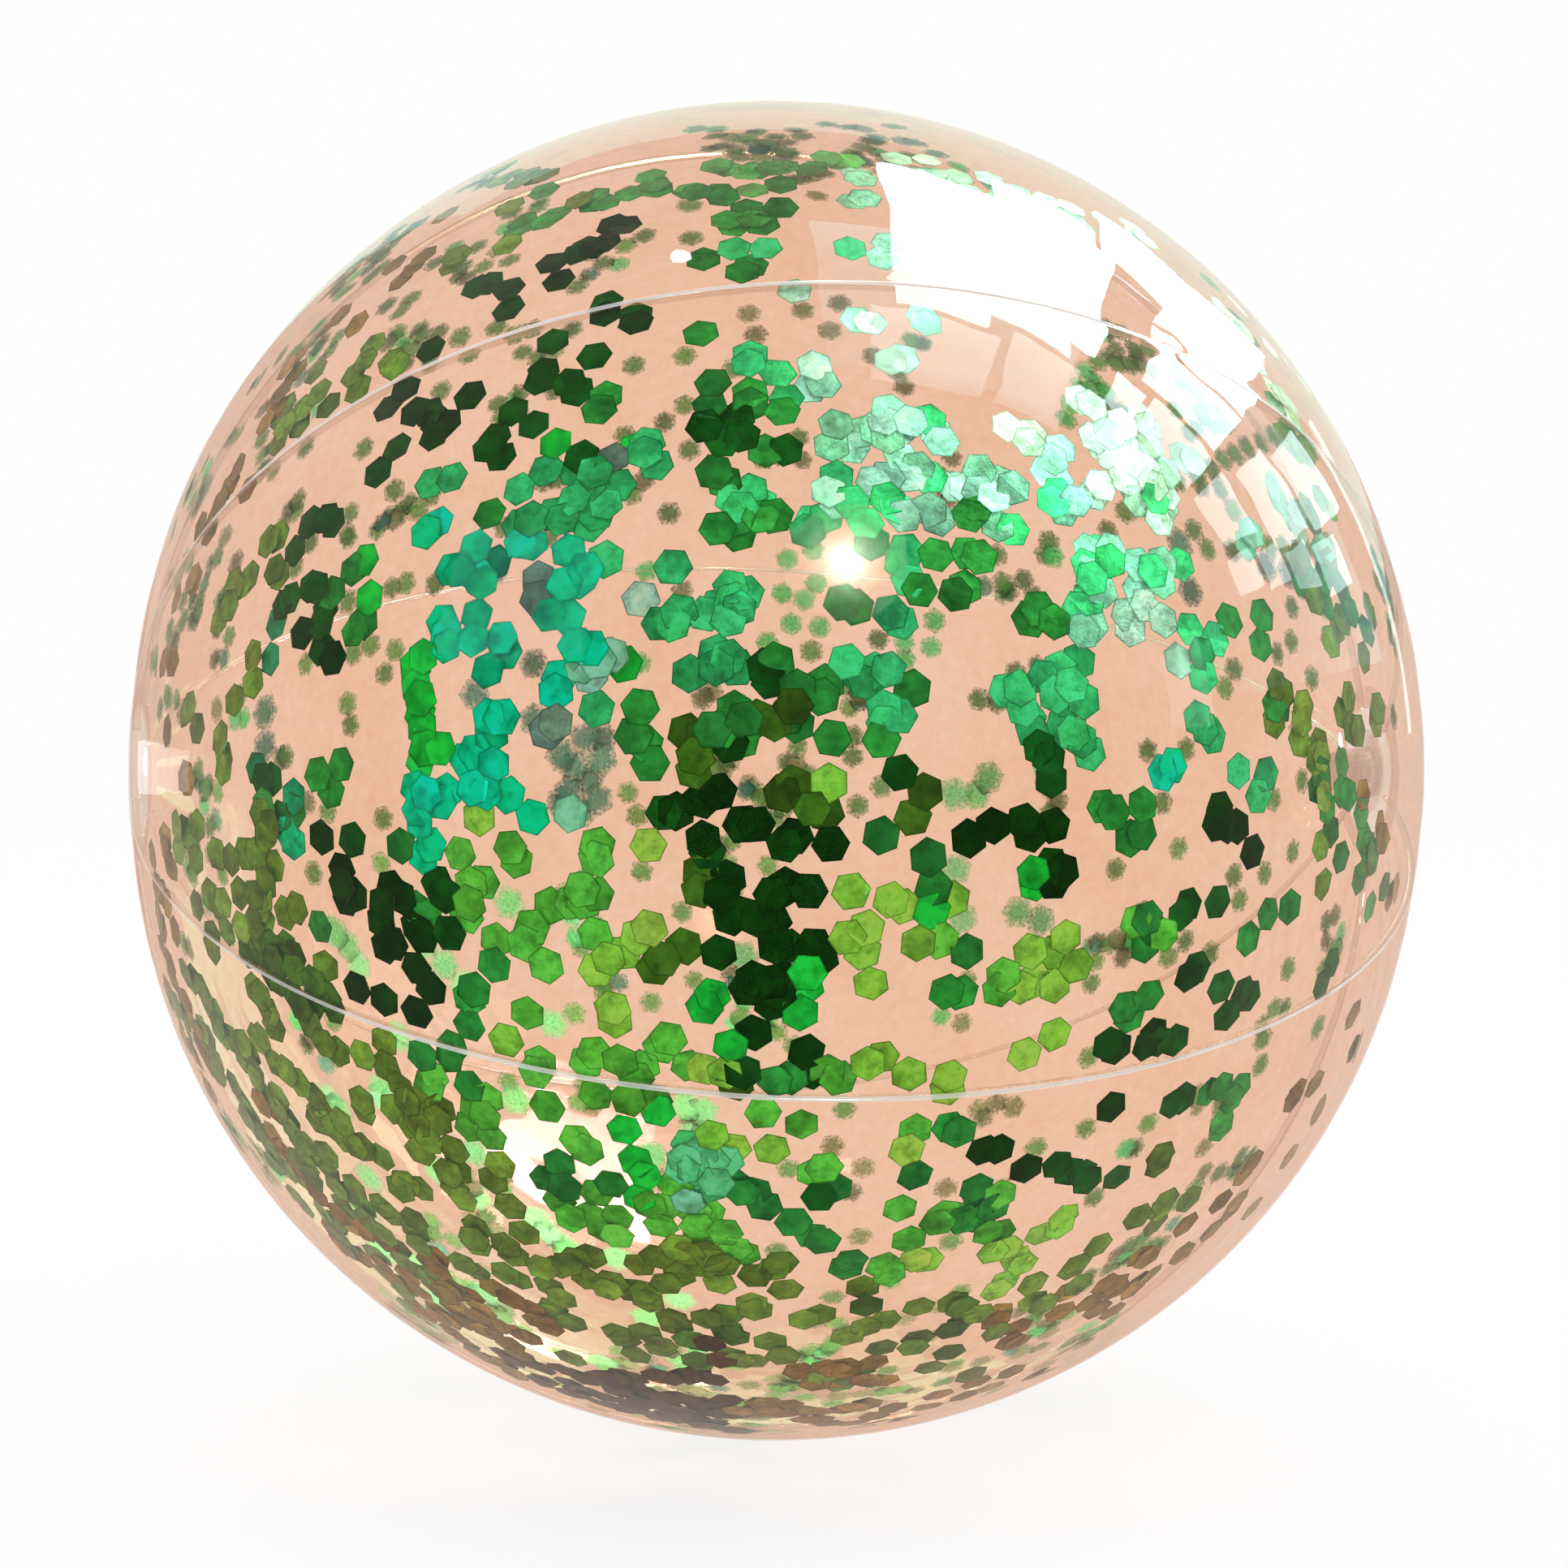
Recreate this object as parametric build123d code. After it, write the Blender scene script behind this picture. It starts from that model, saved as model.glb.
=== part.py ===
from build123d import *
import math
import os
import random

# Clear inflatable beach ball: six welded gores, two end discs, a push-in valve and loose flakes inside.
# Millimetres and degrees. Origin at the ball's centre, +X out of the valve's pole, +Z up, -Y to the front.

# Inflated ball. Each gore is part of a sphere whose centre lies off the pole axis, towards the gore's middle,
# so that the wall stands proud between its seams and is a little flatter at the poles.
equator_diameter = 400.0
gore_centre_offset = 9.0
film = 0.3
gore_count = 6
first_seam_angle = -22.9
overrun = 5.0

# Weld along each gore's two edges, turned in and laid face to face
weld_fin = 2.0

# End discs, lapped over the gores' tips
disc_diameter = 54.0
gore_tip_diameter = 40.0
lap_clearance = 0.05
ridge_insets = (4.75, 2.5)
ridge_height = 0.25
ridge_width = 1.4
ridge_top_width = 0.6

# Valve collar and the flat in the disc that it is welded to
valve_flat_diameter = 27.0
collar_diameter = 26.0
collar_hole_diameter = 13.0
collar_thickness = 0.8
collar_round = 0.3

# Valve stem
stem_diameter = 10.4
stem_length = 12.0
bore_diameter = 6.4
mouth_diameter = 8.6
mouth_depth = 3.6
lip_diameter = 17.0
lip_thickness = 1.2
lip_round = 0.4
foot_diameter = 12.2
foot_thickness = 0.8
ear_width = 6.0
ear_round = 1.5
ear_rim = 0.5

# Web between the collar and the stem's foot
web_thickness = 0.5
web_top_diameter = 16.0
web_stem_gap = 0.3

# Stopper with its strap
stopper_head_diameter = 10.0
stopper_head_thickness = 1.0
stopper_depth = 3.4
stopper_clearance = 0.05
stopper_core_diameter = 3.6
stopper_core_depth = 2.4
tab_length = 3.0
tab_width = 5.0
tab_round = 1.2
strap_pivot_reach = 10.5
strap_width = 4.0
strap_thickness = 0.5
strap_rise = 0.25
strap_bead = 1.2

# Check flap
flap_diameter = 8.4
flap_thickness = 0.5
flap_seat_gap = 0.05
flap_pivot_reach = 5.2
flap_neck_width = 3.0
flap_bead = 0.7
flap_bead_drop = 0.1
bead_clearance = 0.1

# Flakes, hexagons of metallic film
flake_across_flats = 8.0
flake_thickness = 0.12
flake_wall_gap = 0.3
flake_spacing = 0.8
flake_tries = 120
flake_seed = 11
flake_base_share = 0.1
flake_low_share = 0.2
flake_side_share = 0.1
loose_depth = 1.0
loose_level_share = 0.85

equator_radius = equator_diameter / 2
gore_radius = equator_radius - gore_centre_offset
half_gore = 180 / gore_count
seam_slope = math.radians(half_gore)
half_turn = 180


def gore_ball(inset):
    """Sphere that the gore about +Y is part of, drawn in by inset."""
    return Pos(0, gore_centre_offset, 0) * Sphere(gore_radius - inset)


def seam_wedge(inset):
    """Space between the two seam planes of the gore about +Y, each moved in by inset."""
    apex = inset / math.sin(seam_slope)
    far = apex + equator_diameter
    spread = equator_diameter * math.tan(seam_slope)
    section = Plane.YZ * make_face(Polyline((apex, 0), (far, spread), (far, -spread), close=True))
    return extrude(section, amount=equator_diameter, both=True)


def make_gore():
    """The gore about +Y: a film between its two seam planes, its edges turned in as weld fins."""
    outside = gore_ball(0) & seam_wedge(0)
    inside = gore_ball(film) & seam_wedge(film)
    tips = Rot(0, 90, 0) * Cylinder(gore_tip_diameter / 2, 2 * equator_diameter)
    return outside - inside - gore_ball(film + weld_fin) - tips


def gore_turn(index):
    """Turn about the pole axis that takes +Y to the middle of gore number index."""
    middle_angle = first_seam_angle + half_gore * (2 * index + 1)
    return Rot(half_turn - middle_angle, 0, 0)


def gore_reach(radius):
    """Distance along the pole axis of a gore's outer face, in its middle, at this radius from the axis."""
    return math.sqrt(gore_radius**2 - (radius - gore_centre_offset) ** 2)


def dome_reach(radius, lift):
    """The same for a face lift above the sphere on which a disc lies, through the gores' tips and its rim."""
    tip = gore_tip_diameter / 2
    rim = disc_diameter / 2
    drop = gore_reach(tip) - gore_reach(rim)
    middle = (gore_reach(tip) + gore_reach(rim)) / 2
    centre = middle - (rim**2 - tip**2) / (2 * drop)
    dome_radius = math.hypot(gore_reach(rim) - centre, rim)
    return centre + math.sqrt((dome_radius + lift) ** 2 - radius**2)


def ridge(middle):
    """Section of one pressed weld ridge on a disc's outer face, about this radius."""
    inner = middle - ridge_width / 2
    outer = middle + ridge_width / 2
    top = dome_reach(middle, lap_clearance + film) + ridge_height
    root = lap_clearance + film / 2
    return make_face(
        Polyline(
            (dome_reach(inner, root), inner),
            (top, middle - ridge_top_width / 2),
            (top, middle + ridge_top_width / 2),
            (dome_reach(outer, root), outer),
            close=True,
        )
    )


def disc_arc(from_radius, to_radius, lift):
    """Arc of a disc's face between two radii."""
    middle = (from_radius + to_radius) / 2
    return ThreePointArc(
        (dome_reach(from_radius, lift), from_radius),
        (dome_reach(middle, lift), middle),
        (dome_reach(to_radius, lift), to_radius),
    )


def make_disc(flat_radius, hole_radius):
    """A domed disc about +X, level inside flat_radius, with its weld ridges."""
    rim = disc_diameter / 2
    top = lap_clearance + film
    outer = disc_arc(rim, flat_radius, top)
    inner = disc_arc(flat_radius, rim, lap_clearance)
    middle = [outer @ 1, inner @ 0]
    if hole_radius > 0:
        middle = [outer @ 1, ((outer @ 1).X, hole_radius), ((inner @ 0).X, hole_radius), inner @ 0]
    section = make_face([outer, Polyline(*middle), inner, Line(inner @ 1, outer @ 0)])
    for inset in ridge_insets:
        section += ridge(rim - inset)
    return revolve(section, Axis.X)


def turned(points):
    """Solid turned about +Z from a closed section of (radius, height) points."""
    return revolve(Plane.XZ * make_face(Polyline(*points, close=True)), Axis.Z)


# The valve is drawn along +Z from the disc's outer face, its pivots on the -X side, and then laid along +X.
flat_radius = valve_flat_diameter / 2
valve_face = dome_reach(flat_radius, lap_clearance + film)
disc_at_valve = valve_face - dome_reach(flat_radius, lap_clearance)
collar_bottom = -disc_at_valve - collar_thickness
foot_bottom = -stem_length - foot_thickness
mouth_slope = (mouth_diameter - bore_diameter) / 2 / mouth_depth
strap_pivot_height = lip_thickness + strap_rise
flap_pivot_height = foot_bottom - flap_bead_drop
lay_along_x = Pos(valve_face, 0, 0) * Rot(0, 90, 0)


def cross_rod(diameter, length, reach, height):
    """Round rod across the valve, on the pivots' side."""
    return Pos(-reach, 0, height) * Rot(90, 0, 0) * Cylinder(diameter / 2, length)


def plate(near, far, width, bottom, top):
    """Flat plate on the pivots' side, between two reaches and two heights."""
    length = far - near
    thickness = top - bottom
    return Pos(-(near + far) / 2, 0, (bottom + top) / 2) * Box(length, width, thickness)


def make_collar():
    ring = turned(
        [
            (collar_hole_diameter / 2, -disc_at_valve),
            (collar_diameter / 2, -disc_at_valve),
            (collar_diameter / 2, collar_bottom),
            (collar_hole_diameter / 2, collar_bottom),
        ]
    )
    low_rim = ring.edges().group_by(Axis.Z)[0].sort_by(SortBy.LENGTH)[-1]
    return fillet(low_rim, collar_round)


def make_web():
    foot_inner = stem_diameter / 2 + web_stem_gap
    top_outer = web_top_diameter / 2
    return turned(
        [
            (foot_inner, -stem_length),
            (foot_inner + web_thickness, -stem_length),
            (top_outer, collar_bottom),
            (top_outer - web_thickness, collar_bottom),
        ]
    )


def make_stem():
    tube = turned(
        [
            (0, foot_bottom),
            (foot_diameter / 2, foot_bottom),
            (foot_diameter / 2, -stem_length),
            (stem_diameter / 2, -stem_length),
            (stem_diameter / 2, 0),
            (lip_diameter / 2, 0),
            (lip_diameter / 2, lip_thickness),
            (0, lip_thickness),
        ]
    )
    cradle = strap_bead + 2 * bead_clearance
    ear_reach = strap_pivot_reach + cradle / 2 + ear_rim
    ear = plate(0, ear_reach, ear_width, 0, lip_thickness)
    ear = fillet(ear.edges().filter_by(Axis.Z).group_by(Axis.X)[0], ear_round)
    body = tube + ear
    body = fillet(body.faces().sort_by(Axis.Z)[-1].outer_wire().edges(), lip_round)
    bore = turned(
        [
            (0, foot_bottom - overrun),
            (bore_diameter / 2, foot_bottom - overrun),
            (bore_diameter / 2, lip_thickness - mouth_depth),
            (mouth_diameter / 2, lip_thickness),
            (mouth_diameter / 2, lip_thickness + overrun),
            (0, lip_thickness + overrun),
        ]
    )
    strap_cradle = cross_rod(cradle, ear_width + overrun, strap_pivot_reach, strap_pivot_height)
    flap_cradle_width = flap_neck_width + 2 * bead_clearance
    flap_cradle = cross_rod(
        flap_bead + 2 * bead_clearance, flap_cradle_width, flap_pivot_reach, flap_pivot_height
    )
    return body - bore - strap_cradle - flap_cradle


def make_stopper():
    head_top = lip_thickness + stopper_head_thickness
    tip = lip_thickness - stopper_depth
    root_radius = mouth_diameter / 2 - stopper_clearance
    tip_radius = root_radius - stopper_depth * mouth_slope
    plug = turned(
        [
            (stopper_core_diameter / 2, tip),
            (tip_radius, tip),
            (root_radius, lip_thickness),
            (stopper_head_diameter / 2, lip_thickness),
            (stopper_head_diameter / 2, head_top),
            (0, head_top),
            (0, tip + stopper_core_depth),
            (stopper_core_diameter / 2, tip + stopper_core_depth),
        ]
    )
    tab_reach = stopper_head_diameter / 2 + tab_length
    tab = plate(-tab_reach, 0, tab_width, lip_thickness, head_top)
    tab = fillet(tab.edges().filter_by(Axis.Z).group_by(Axis.X)[-1], tab_round)
    strap = plate(
        stopper_core_diameter / 2,
        strap_pivot_reach,
        strap_width,
        strap_pivot_height,
        strap_pivot_height + strap_thickness,
    )
    bead = cross_rod(strap_bead, strap_width, strap_pivot_reach, strap_pivot_height)
    return plug + tab + strap + bead


def make_flap():
    top = foot_bottom - flap_seat_gap
    bottom = top - flap_thickness
    leaf = Pos(0, 0, (top + bottom) / 2) * Cylinder(flap_diameter / 2, flap_thickness)
    neck = plate(bore_diameter / 2, flap_pivot_reach, flap_neck_width, bottom, top)
    bead = cross_rod(flap_bead, flap_neck_width, flap_pivot_reach, flap_pivot_height)
    return leaf + neck + bead


def flake_plane(reach_share, turn, depth):
    """Plane along the gore's inner face, depth in from it, at a share of the way to the pole and a turn."""
    wall = gore_radius - film
    normal = Vector(reach_share, math.sqrt(1 - reach_share**2), 0).rotate(Axis.X, turn)
    point = Vector(0, gore_centre_offset, 0) + normal * (wall - depth)
    return Plane(origin=point, x_dir=normal.cross(Vector(0, 0, 1)), z_dir=normal)


def clear_of_seams(point):
    """True where a flake at this point stays clear of the weld fins and the end discs."""
    margin = flake_across_flats + film
    to_seam = point.Y * math.sin(seam_slope) - abs(point.Z) * math.cos(seam_slope)
    to_axis = math.hypot(point.Y, point.Z)
    return to_seam > margin and to_axis > disc_diameter / 2 + margin


def clinging(point):
    """Share of tries that cling to the wall here: most at the bottom and towards the plain disc."""
    low = 1 - point.Z / equator_radius
    plain_side = 1 - point.X / equator_radius
    return flake_base_share + flake_low_share * low + flake_side_share * plain_side


def settled(point):
    """Share of tries that lie loose here: only round the lowest place."""
    return 1 if point.Z < -loose_level_share * equator_radius else 0


def make_flakes(index, density, depth, rng):
    """Flakes on gore number index as separate hexagons, none touching another."""
    pitch = flake_across_flats / math.cos(math.pi / 6) + flake_spacing
    flake = extrude(RegularPolygon(flake_across_flats / 2, 6, major_radius=False), amount=-flake_thickness)
    turn = gore_turn(index)
    planes = []
    flakes = []
    for _ in range(flake_tries):
        plane = flake_plane(rng.uniform(-1, 1), rng.uniform(-half_gore, half_gore), depth)
        spin = rng.uniform(0, 2 * half_gore)
        lot = rng.random()
        crowded = any((plane.origin - other.origin).length < pitch for other in planes)
        if crowded or not clear_of_seams(plane.origin):
            continue
        if lot < density((turn * Pos(*plane.origin)).position):
            planes.append(plane)
            flakes.append(turn * plane.location * Rot(0, 0, spin) * flake)
    return flakes


os.makedirs("parts", exist_ok=True)
rng = random.Random(flake_seed)
nodes = {}
loose = []
gore = make_gore()
for index in range(gore_count):
    nodes[f"panel_{index + 1}"] = gore_turn(index) * gore
    nodes[f"glitter_{index + 1}"] = Compound(make_flakes(index, clinging, flake_wall_gap, rng))
    loose += make_flakes(index, settled, loose_depth, rng)
nodes["glitter_loose"] = Compound(loose)
nodes["end_disc_plain"] = Rot(0, 0, half_turn) * make_disc(0, 0)
nodes["end_disc_valve"] = make_disc(flat_radius, collar_hole_diameter / 2)
nodes["valve_collar"] = lay_along_x * make_collar()
nodes["valve_web"] = lay_along_x * make_web()
nodes["valve_stem"] = lay_along_x * make_stem()
nodes["stopper"] = lay_along_x * make_stopper()
nodes["check_flap"] = lay_along_x * make_flap()

for name, shape in nodes.items():
    export_step(shape, f"parts/{name}.step")
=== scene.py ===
import math

import bpy
import numpy as np
from mathutils import Matrix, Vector
from mathutils.kdtree import KDTree


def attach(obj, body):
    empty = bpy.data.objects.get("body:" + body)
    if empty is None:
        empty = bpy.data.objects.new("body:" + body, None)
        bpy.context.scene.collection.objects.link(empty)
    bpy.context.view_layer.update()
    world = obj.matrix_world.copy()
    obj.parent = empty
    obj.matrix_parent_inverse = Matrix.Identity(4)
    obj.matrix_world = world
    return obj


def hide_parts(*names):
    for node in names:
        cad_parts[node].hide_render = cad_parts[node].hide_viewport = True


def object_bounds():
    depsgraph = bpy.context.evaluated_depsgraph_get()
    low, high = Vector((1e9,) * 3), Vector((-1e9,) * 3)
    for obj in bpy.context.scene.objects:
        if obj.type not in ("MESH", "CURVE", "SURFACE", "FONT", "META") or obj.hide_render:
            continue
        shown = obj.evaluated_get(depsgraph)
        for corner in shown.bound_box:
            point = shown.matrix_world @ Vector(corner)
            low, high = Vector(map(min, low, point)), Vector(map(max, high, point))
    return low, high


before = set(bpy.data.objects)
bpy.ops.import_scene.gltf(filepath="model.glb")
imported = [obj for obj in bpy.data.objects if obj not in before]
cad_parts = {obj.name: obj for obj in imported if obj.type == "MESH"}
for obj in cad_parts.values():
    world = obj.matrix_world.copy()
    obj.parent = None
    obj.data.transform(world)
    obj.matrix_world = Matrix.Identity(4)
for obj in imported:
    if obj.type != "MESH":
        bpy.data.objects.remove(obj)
cad_low, cad_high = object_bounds()
scene = bpy.context.scene

# Camera, as the photograph was taken: level, a little to the left of the ball's middle. Metres and pixels.
CAMERA_AZIMUTH = math.radians(-7.3)
CAMERA_DISTANCE = 0.770
IMAGE_SIDE = 1932
FOCAL_PIXELS = 3078.0
BALL_MIDDLE = (952.4, 950.0)
SENSOR = 36.0

# The ball, the same sizes as the source's
GORE_OFFSET = 0.009
GORE_RADIUS = 0.191
FILM = 0.0003
FIN = 0.002
SEAM_GAP = 0.00002
TIP_RADIUS = 0.020
DISC_RADIUS = 0.027
LAP_GAP = 0.00005
RIDGES = (0.02225, 0.0245)
RIDGE_HEIGHT = 0.00025
FLAT_RADIUS = 0.0135
DISC_HOLE = 0.0065
GORES = 6
HALF_GORE = math.pi / GORES
MIDDLES = math.radians(-22.9) + HALF_GORE * (2 * np.arange(GORES) + 1)

# Flakes
FLAT_TO_FLAT = 0.008
FLAKE_THICKNESS = 0.00006
WALL_GAP = 0.0002

# Share of light that the film mirrors, from straight on to grazing
GLOSS_POWER = 3.2
GLOSS_AT_EDGE = 0.36

rng = np.random.default_rng(41)


# Vectors and the camera's rays


def unit(v):
    """Vectors scaled to length 1."""
    return v / np.linalg.norm(v, axis=-1, keepdims=True)


def out_of_axis(angle):
    """Unit vectors out of the pole axis at an angle that counts from the front (-Y) up towards +Z."""
    return np.stack([np.zeros_like(angle), -np.cos(angle), np.sin(angle)], axis=-1)


camera_back = np.array([math.sin(CAMERA_AZIMUTH), -math.cos(CAMERA_AZIMUTH), 0.0])
camera_place = CAMERA_DISTANCE * camera_back
camera_right = unit(np.cross(-camera_back, [0.0, 0.0, 1.0]))


def wall_points(pixels, far=False):
    """Points of the near wall, or of the far one, and the wall's outward normals, that the camera sees at these
    pixels. Each ray is met with the six gore spheres, and the one whose gore holds the point is kept."""
    steps = (pixels - np.array(BALL_MIDDLE)) / FOCAL_PIXELS
    rays = unit(-camera_back + steps[:, :1] * camera_right - steps[:, 1:] * np.array([0.0, 0.0, 1.0]))
    points, normals = np.full((len(rays), 3), np.nan), np.zeros((len(rays), 3))
    for middle in MIDDLES:
        centre = GORE_OFFSET * out_of_axis(np.array(middle))
        to_camera = camera_place - centre
        along = rays @ to_camera
        inside = along**2 - to_camera @ to_camera + GORE_RADIUS**2
        root = np.sqrt(np.maximum(inside, 0)) * (1 if far else -1)
        met = camera_place + (root - along)[:, None] * rays
        turned = np.arctan2(met[:, 2], -met[:, 1]) - middle
        turned = (turned + math.pi) % (2 * math.pi) - math.pi
        held = (inside > 0) & (np.abs(turned) <= HALF_GORE)
        points[held] = met[held]
        normals[held] = unit(met[held] - centre)
    return points, normals


# Meshes


def add_mesh(name, points, faces, smooth=True):
    """One object at the origin from points and faces (a list of index arrays, one per face size)."""
    mesh = bpy.data.meshes.new(name)
    sizes = np.concatenate([np.full(len(f), f.shape[1]) for f in faces])
    corners = np.concatenate([f.ravel() for f in faces])
    mesh.vertices.add(len(points))
    mesh.vertices.foreach_set("co", np.asarray(points, np.float32).ravel())
    mesh.loops.add(len(corners))
    mesh.loops.foreach_set("vertex_index", corners.astype(np.int32))
    mesh.polygons.add(len(sizes))
    mesh.polygons.foreach_set("loop_start", np.concatenate([[0], np.cumsum(sizes)[:-1]]).astype(np.int32))
    mesh.polygons.foreach_set("loop_total", sizes.astype(np.int32))
    mesh.polygons.foreach_set("use_smooth", np.full(len(sizes), smooth))
    mesh.update(calc_edges=True)
    mesh.validate()
    piece = bpy.data.objects.new(name, mesh)
    scene.collection.objects.link(piece)
    return piece


def ring_faces(rows, columns):
    """Quads of a grid of points whose columns close on themselves."""
    row, column = np.meshgrid(np.arange(rows - 1), np.arange(columns), indexing="ij")
    after = (column + 1) % columns
    first, second = row * columns + column, row * columns + after
    return np.stack([first, second, second + columns, first + columns], axis=-1).reshape(-1, 4)


# Gores


def gore_points(polar, across, depth, shift):
    """Points of a gore: reach from the ball's middle and turn from the gore's middle. polar is the angle from
    the +X pole, across the share of the way to a seam, depth the distance under the outer face and shift that
    from the seam's plane. reach = lean + sqrt(lean^2 + radius^2 - offset^2) meets the gore's sphere."""
    radius = GORE_RADIUS - depth
    turn = across * (HALF_GORE - shift / (GORE_RADIUS * np.sin(polar)))
    lean = GORE_OFFSET * np.sin(polar) * np.cos(turn)
    reach = lean + np.sqrt(lean**2 + radius**2 - GORE_OFFSET**2)
    return reach, turn


def tip_angle(across):
    """Polar angle at which a gore's outer face comes within the tips' radius of the axis."""
    polar = np.full_like(across, TIP_RADIUS / GORE_RADIUS)
    for _ in range(8):
        reach, _turn = gore_points(polar, across, 0, SEAM_GAP)
        polar = np.arcsin(TIP_RADIUS / reach)
    return polar


def ease(value):
    """Smooth step from 0 to 1."""
    value = np.clip(value, 0, 1)
    return value * value * (3 - 2 * value)


def puckers(polar, across, seed):
    """How far the film is drawn in, in metres: radial gathers that fade out away from each end disc, and a row
    of small gathers along each weld."""
    phase = np.random.default_rng(seed).uniform(0, 2 * math.pi, 8)
    near_pole = np.minimum(polar, math.pi - polar) * GORE_RADIUS
    fade = ease((near_pole - 0.027) / 0.012) * (1 - ease((near_pole - 0.036) / 0.075))
    gathers = 0.5 + 0.5 * np.cos(11 * across + phase[0] + 2.2 * np.sin(3 * across + phase[1]))
    inward = 0.00055 * fade * gathers**2
    along = polar * GORE_RADIUS
    side = (1 - np.abs(across)) * HALF_GORE * GORE_RADIUS * np.sin(polar)
    wave = np.sin(along / 0.0024 + 1.7 * np.sin(along / 0.011 + phase[2]) + 3 * (across > 0))
    strength = 0.5 + 0.5 * np.sin(along / 0.019 + phase[3] + 2 * (across > 0))
    shelf = ease(side / 0.0015) * np.exp(-side / 0.006) * ease((near_pole - 0.03) / 0.02)
    return inward + 0.00016 * shelf * strength * (0.5 + 0.5 * wave)


def make_gore(index):
    """A gore as one closed film: a section that runs up one weld fin, across the outer face, down the other fin
    and back along the inside, carried from pole to pole, with its two tips closed."""
    rows, arc = 221, 57
    span = np.linspace(-1, 1, arc)
    span = np.sign(span) * (1 - (1 - np.abs(span)) ** 1.5)
    fin = np.array([FILM + FIN, FILM + FIN / 2, FILM + FIN / 6])
    across_outer = np.concatenate([[-1] * 3, span, [1] * 3])
    depth_outer = np.concatenate([fin, np.zeros(arc), fin[::-1]])
    depth_inner = np.concatenate([fin, np.full(arc, FILM), fin[::-1]])
    across = np.concatenate([across_outer, across_outer[::-1]])
    depth = np.concatenate([depth_outer, depth_inner[::-1]])
    shift = np.concatenate([np.full(arc + 6, SEAM_GAP), np.full(arc + 6, FILM + SEAM_GAP)])
    step = np.linspace(0, 1, rows)[:, None]
    tip = tip_angle(across)[None, :]
    polar = tip + (math.pi - 2 * tip) * step
    reach, turn = gore_points(polar, across[None, :], depth[None, :], shift[None, :])
    on_face = np.concatenate([[0] * 3, np.ones(arc), [0] * 3])
    on_face = np.concatenate([on_face, on_face[::-1]])[None, :]
    reach = reach - on_face * puckers(polar, across[None, :], 100 + index)
    direction = np.cos(polar)[..., None] * np.array([1.0, 0, 0])
    direction = direction + np.sin(polar)[..., None] * out_of_axis(MIDDLES[index] + turn)
    points = (reach[..., None] * direction).reshape(-1, 3)
    columns = len(across)
    body = ring_faces(rows, columns)
    half = arc + 6
    left = np.arange(half - 1)
    low = np.stack([left, left + 1, columns - 2 - left, columns - 1 - left], axis=-1)
    high = low[:, ::-1] + (rows - 1) * columns
    piece = add_mesh(f"gore_{index + 1}", points, [body, low, high])
    welded = np.zeros(len(points), bool).reshape(rows, columns)
    welded[:, :3] = welded[:, half - 3 : half + 3] = welded[:, -3:] = True
    corners = body.reshape(-1, 4)
    fins = welded.ravel()[corners].sum(axis=1) >= 3
    inner_face = (corners % columns >= half).all(axis=1)
    beside_seam = np.isin(corners[:, 0] % columns, [2, 3, arc + 1, arc + 2]) & ~inner_face
    finish = np.where(fins, 2, np.where(inner_face, 1, np.where(beside_seam, 3, 0)))
    finish = np.concatenate([finish, np.full(len(low) + len(high), 2)])
    piece.data.polygons.foreach_set("material_index", finish.astype(np.int32))
    return piece


# End discs


def disc_reach(radius, lift):
    """Distance along the axis of the dome that a disc lies on, raised by lift."""
    gore = lambda r: math.sqrt(GORE_RADIUS**2 - (r - GORE_OFFSET) ** 2)
    drop = gore(TIP_RADIUS) - gore(DISC_RADIUS)
    middle = (gore(TIP_RADIUS) + gore(DISC_RADIUS)) / 2
    centre = middle - (DISC_RADIUS**2 - TIP_RADIUS**2) / (2 * drop)
    dome = math.hypot(gore(DISC_RADIUS) - centre, DISC_RADIUS)
    return centre + np.sqrt((dome + lift) ** 2 - radius**2)


def make_disc(name, side, flat, hole):
    """A domed disc turned about the pole axis from a profile: its outer face with two pressed ridges, a rounded
    rim and its inner face. The dome is level inside the flat."""
    radii = np.concatenate([np.linspace(hole, 0.0205, 24)[:-1], np.linspace(0.0205, DISC_RADIUS, 60)])
    level = np.maximum(radii, flat)
    rise = sum(RIDGE_HEIGHT * ease((0.0007 - np.abs(radii - r)) / 0.0005) for r in RIDGES)
    top = disc_reach(level, LAP_GAP + FILM) + rise
    under = disc_reach(level, LAP_GAP)
    profile_r = np.concatenate([radii, radii[::-1]])
    profile_x = np.concatenate([top, under[::-1]])
    turn = np.linspace(0, 2 * math.pi, 192, endpoint=False)[:, None]
    around = np.stack([profile_x + 0 * turn, -profile_r * np.cos(turn), profile_r * np.sin(turn)], axis=-1)
    around[..., 0] *= side
    rows, columns = around.shape[:2]
    quads = ring_faces(rows + 1, columns) % (rows * columns)
    if side > 0:
        quads = quads[:, ::-1]
    return add_mesh(name, around.reshape(-1, 3), [quads])


# Materials


def new_material(name):
    """An empty node material and its tree."""
    material = bpy.data.materials.new(name)
    material.use_nodes = True
    tree = material.node_tree
    tree.nodes.clear()
    return material, tree


def add(tree, kind, values=None, **settings):
    """One node with its settings and its input values; a value that is a socket is linked."""
    node = tree.nodes.new(kind)
    for key, value in settings.items():
        setattr(node, key, value)
    for key, value in (values or {}).items():
        if isinstance(value, bpy.types.NodeSocket):
            tree.links.new(value, node.inputs[key])
        else:
            node.inputs[key].default_value = value
    return node


def noise(tree, place, scale, detail, roughness):
    """The value of a noise texture."""
    values = {"Vector": place, "Scale": scale, "Detail": detail, "Roughness": roughness}
    return add(tree, "ShaderNodeTexNoise", values).outputs["Fac"]


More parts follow.
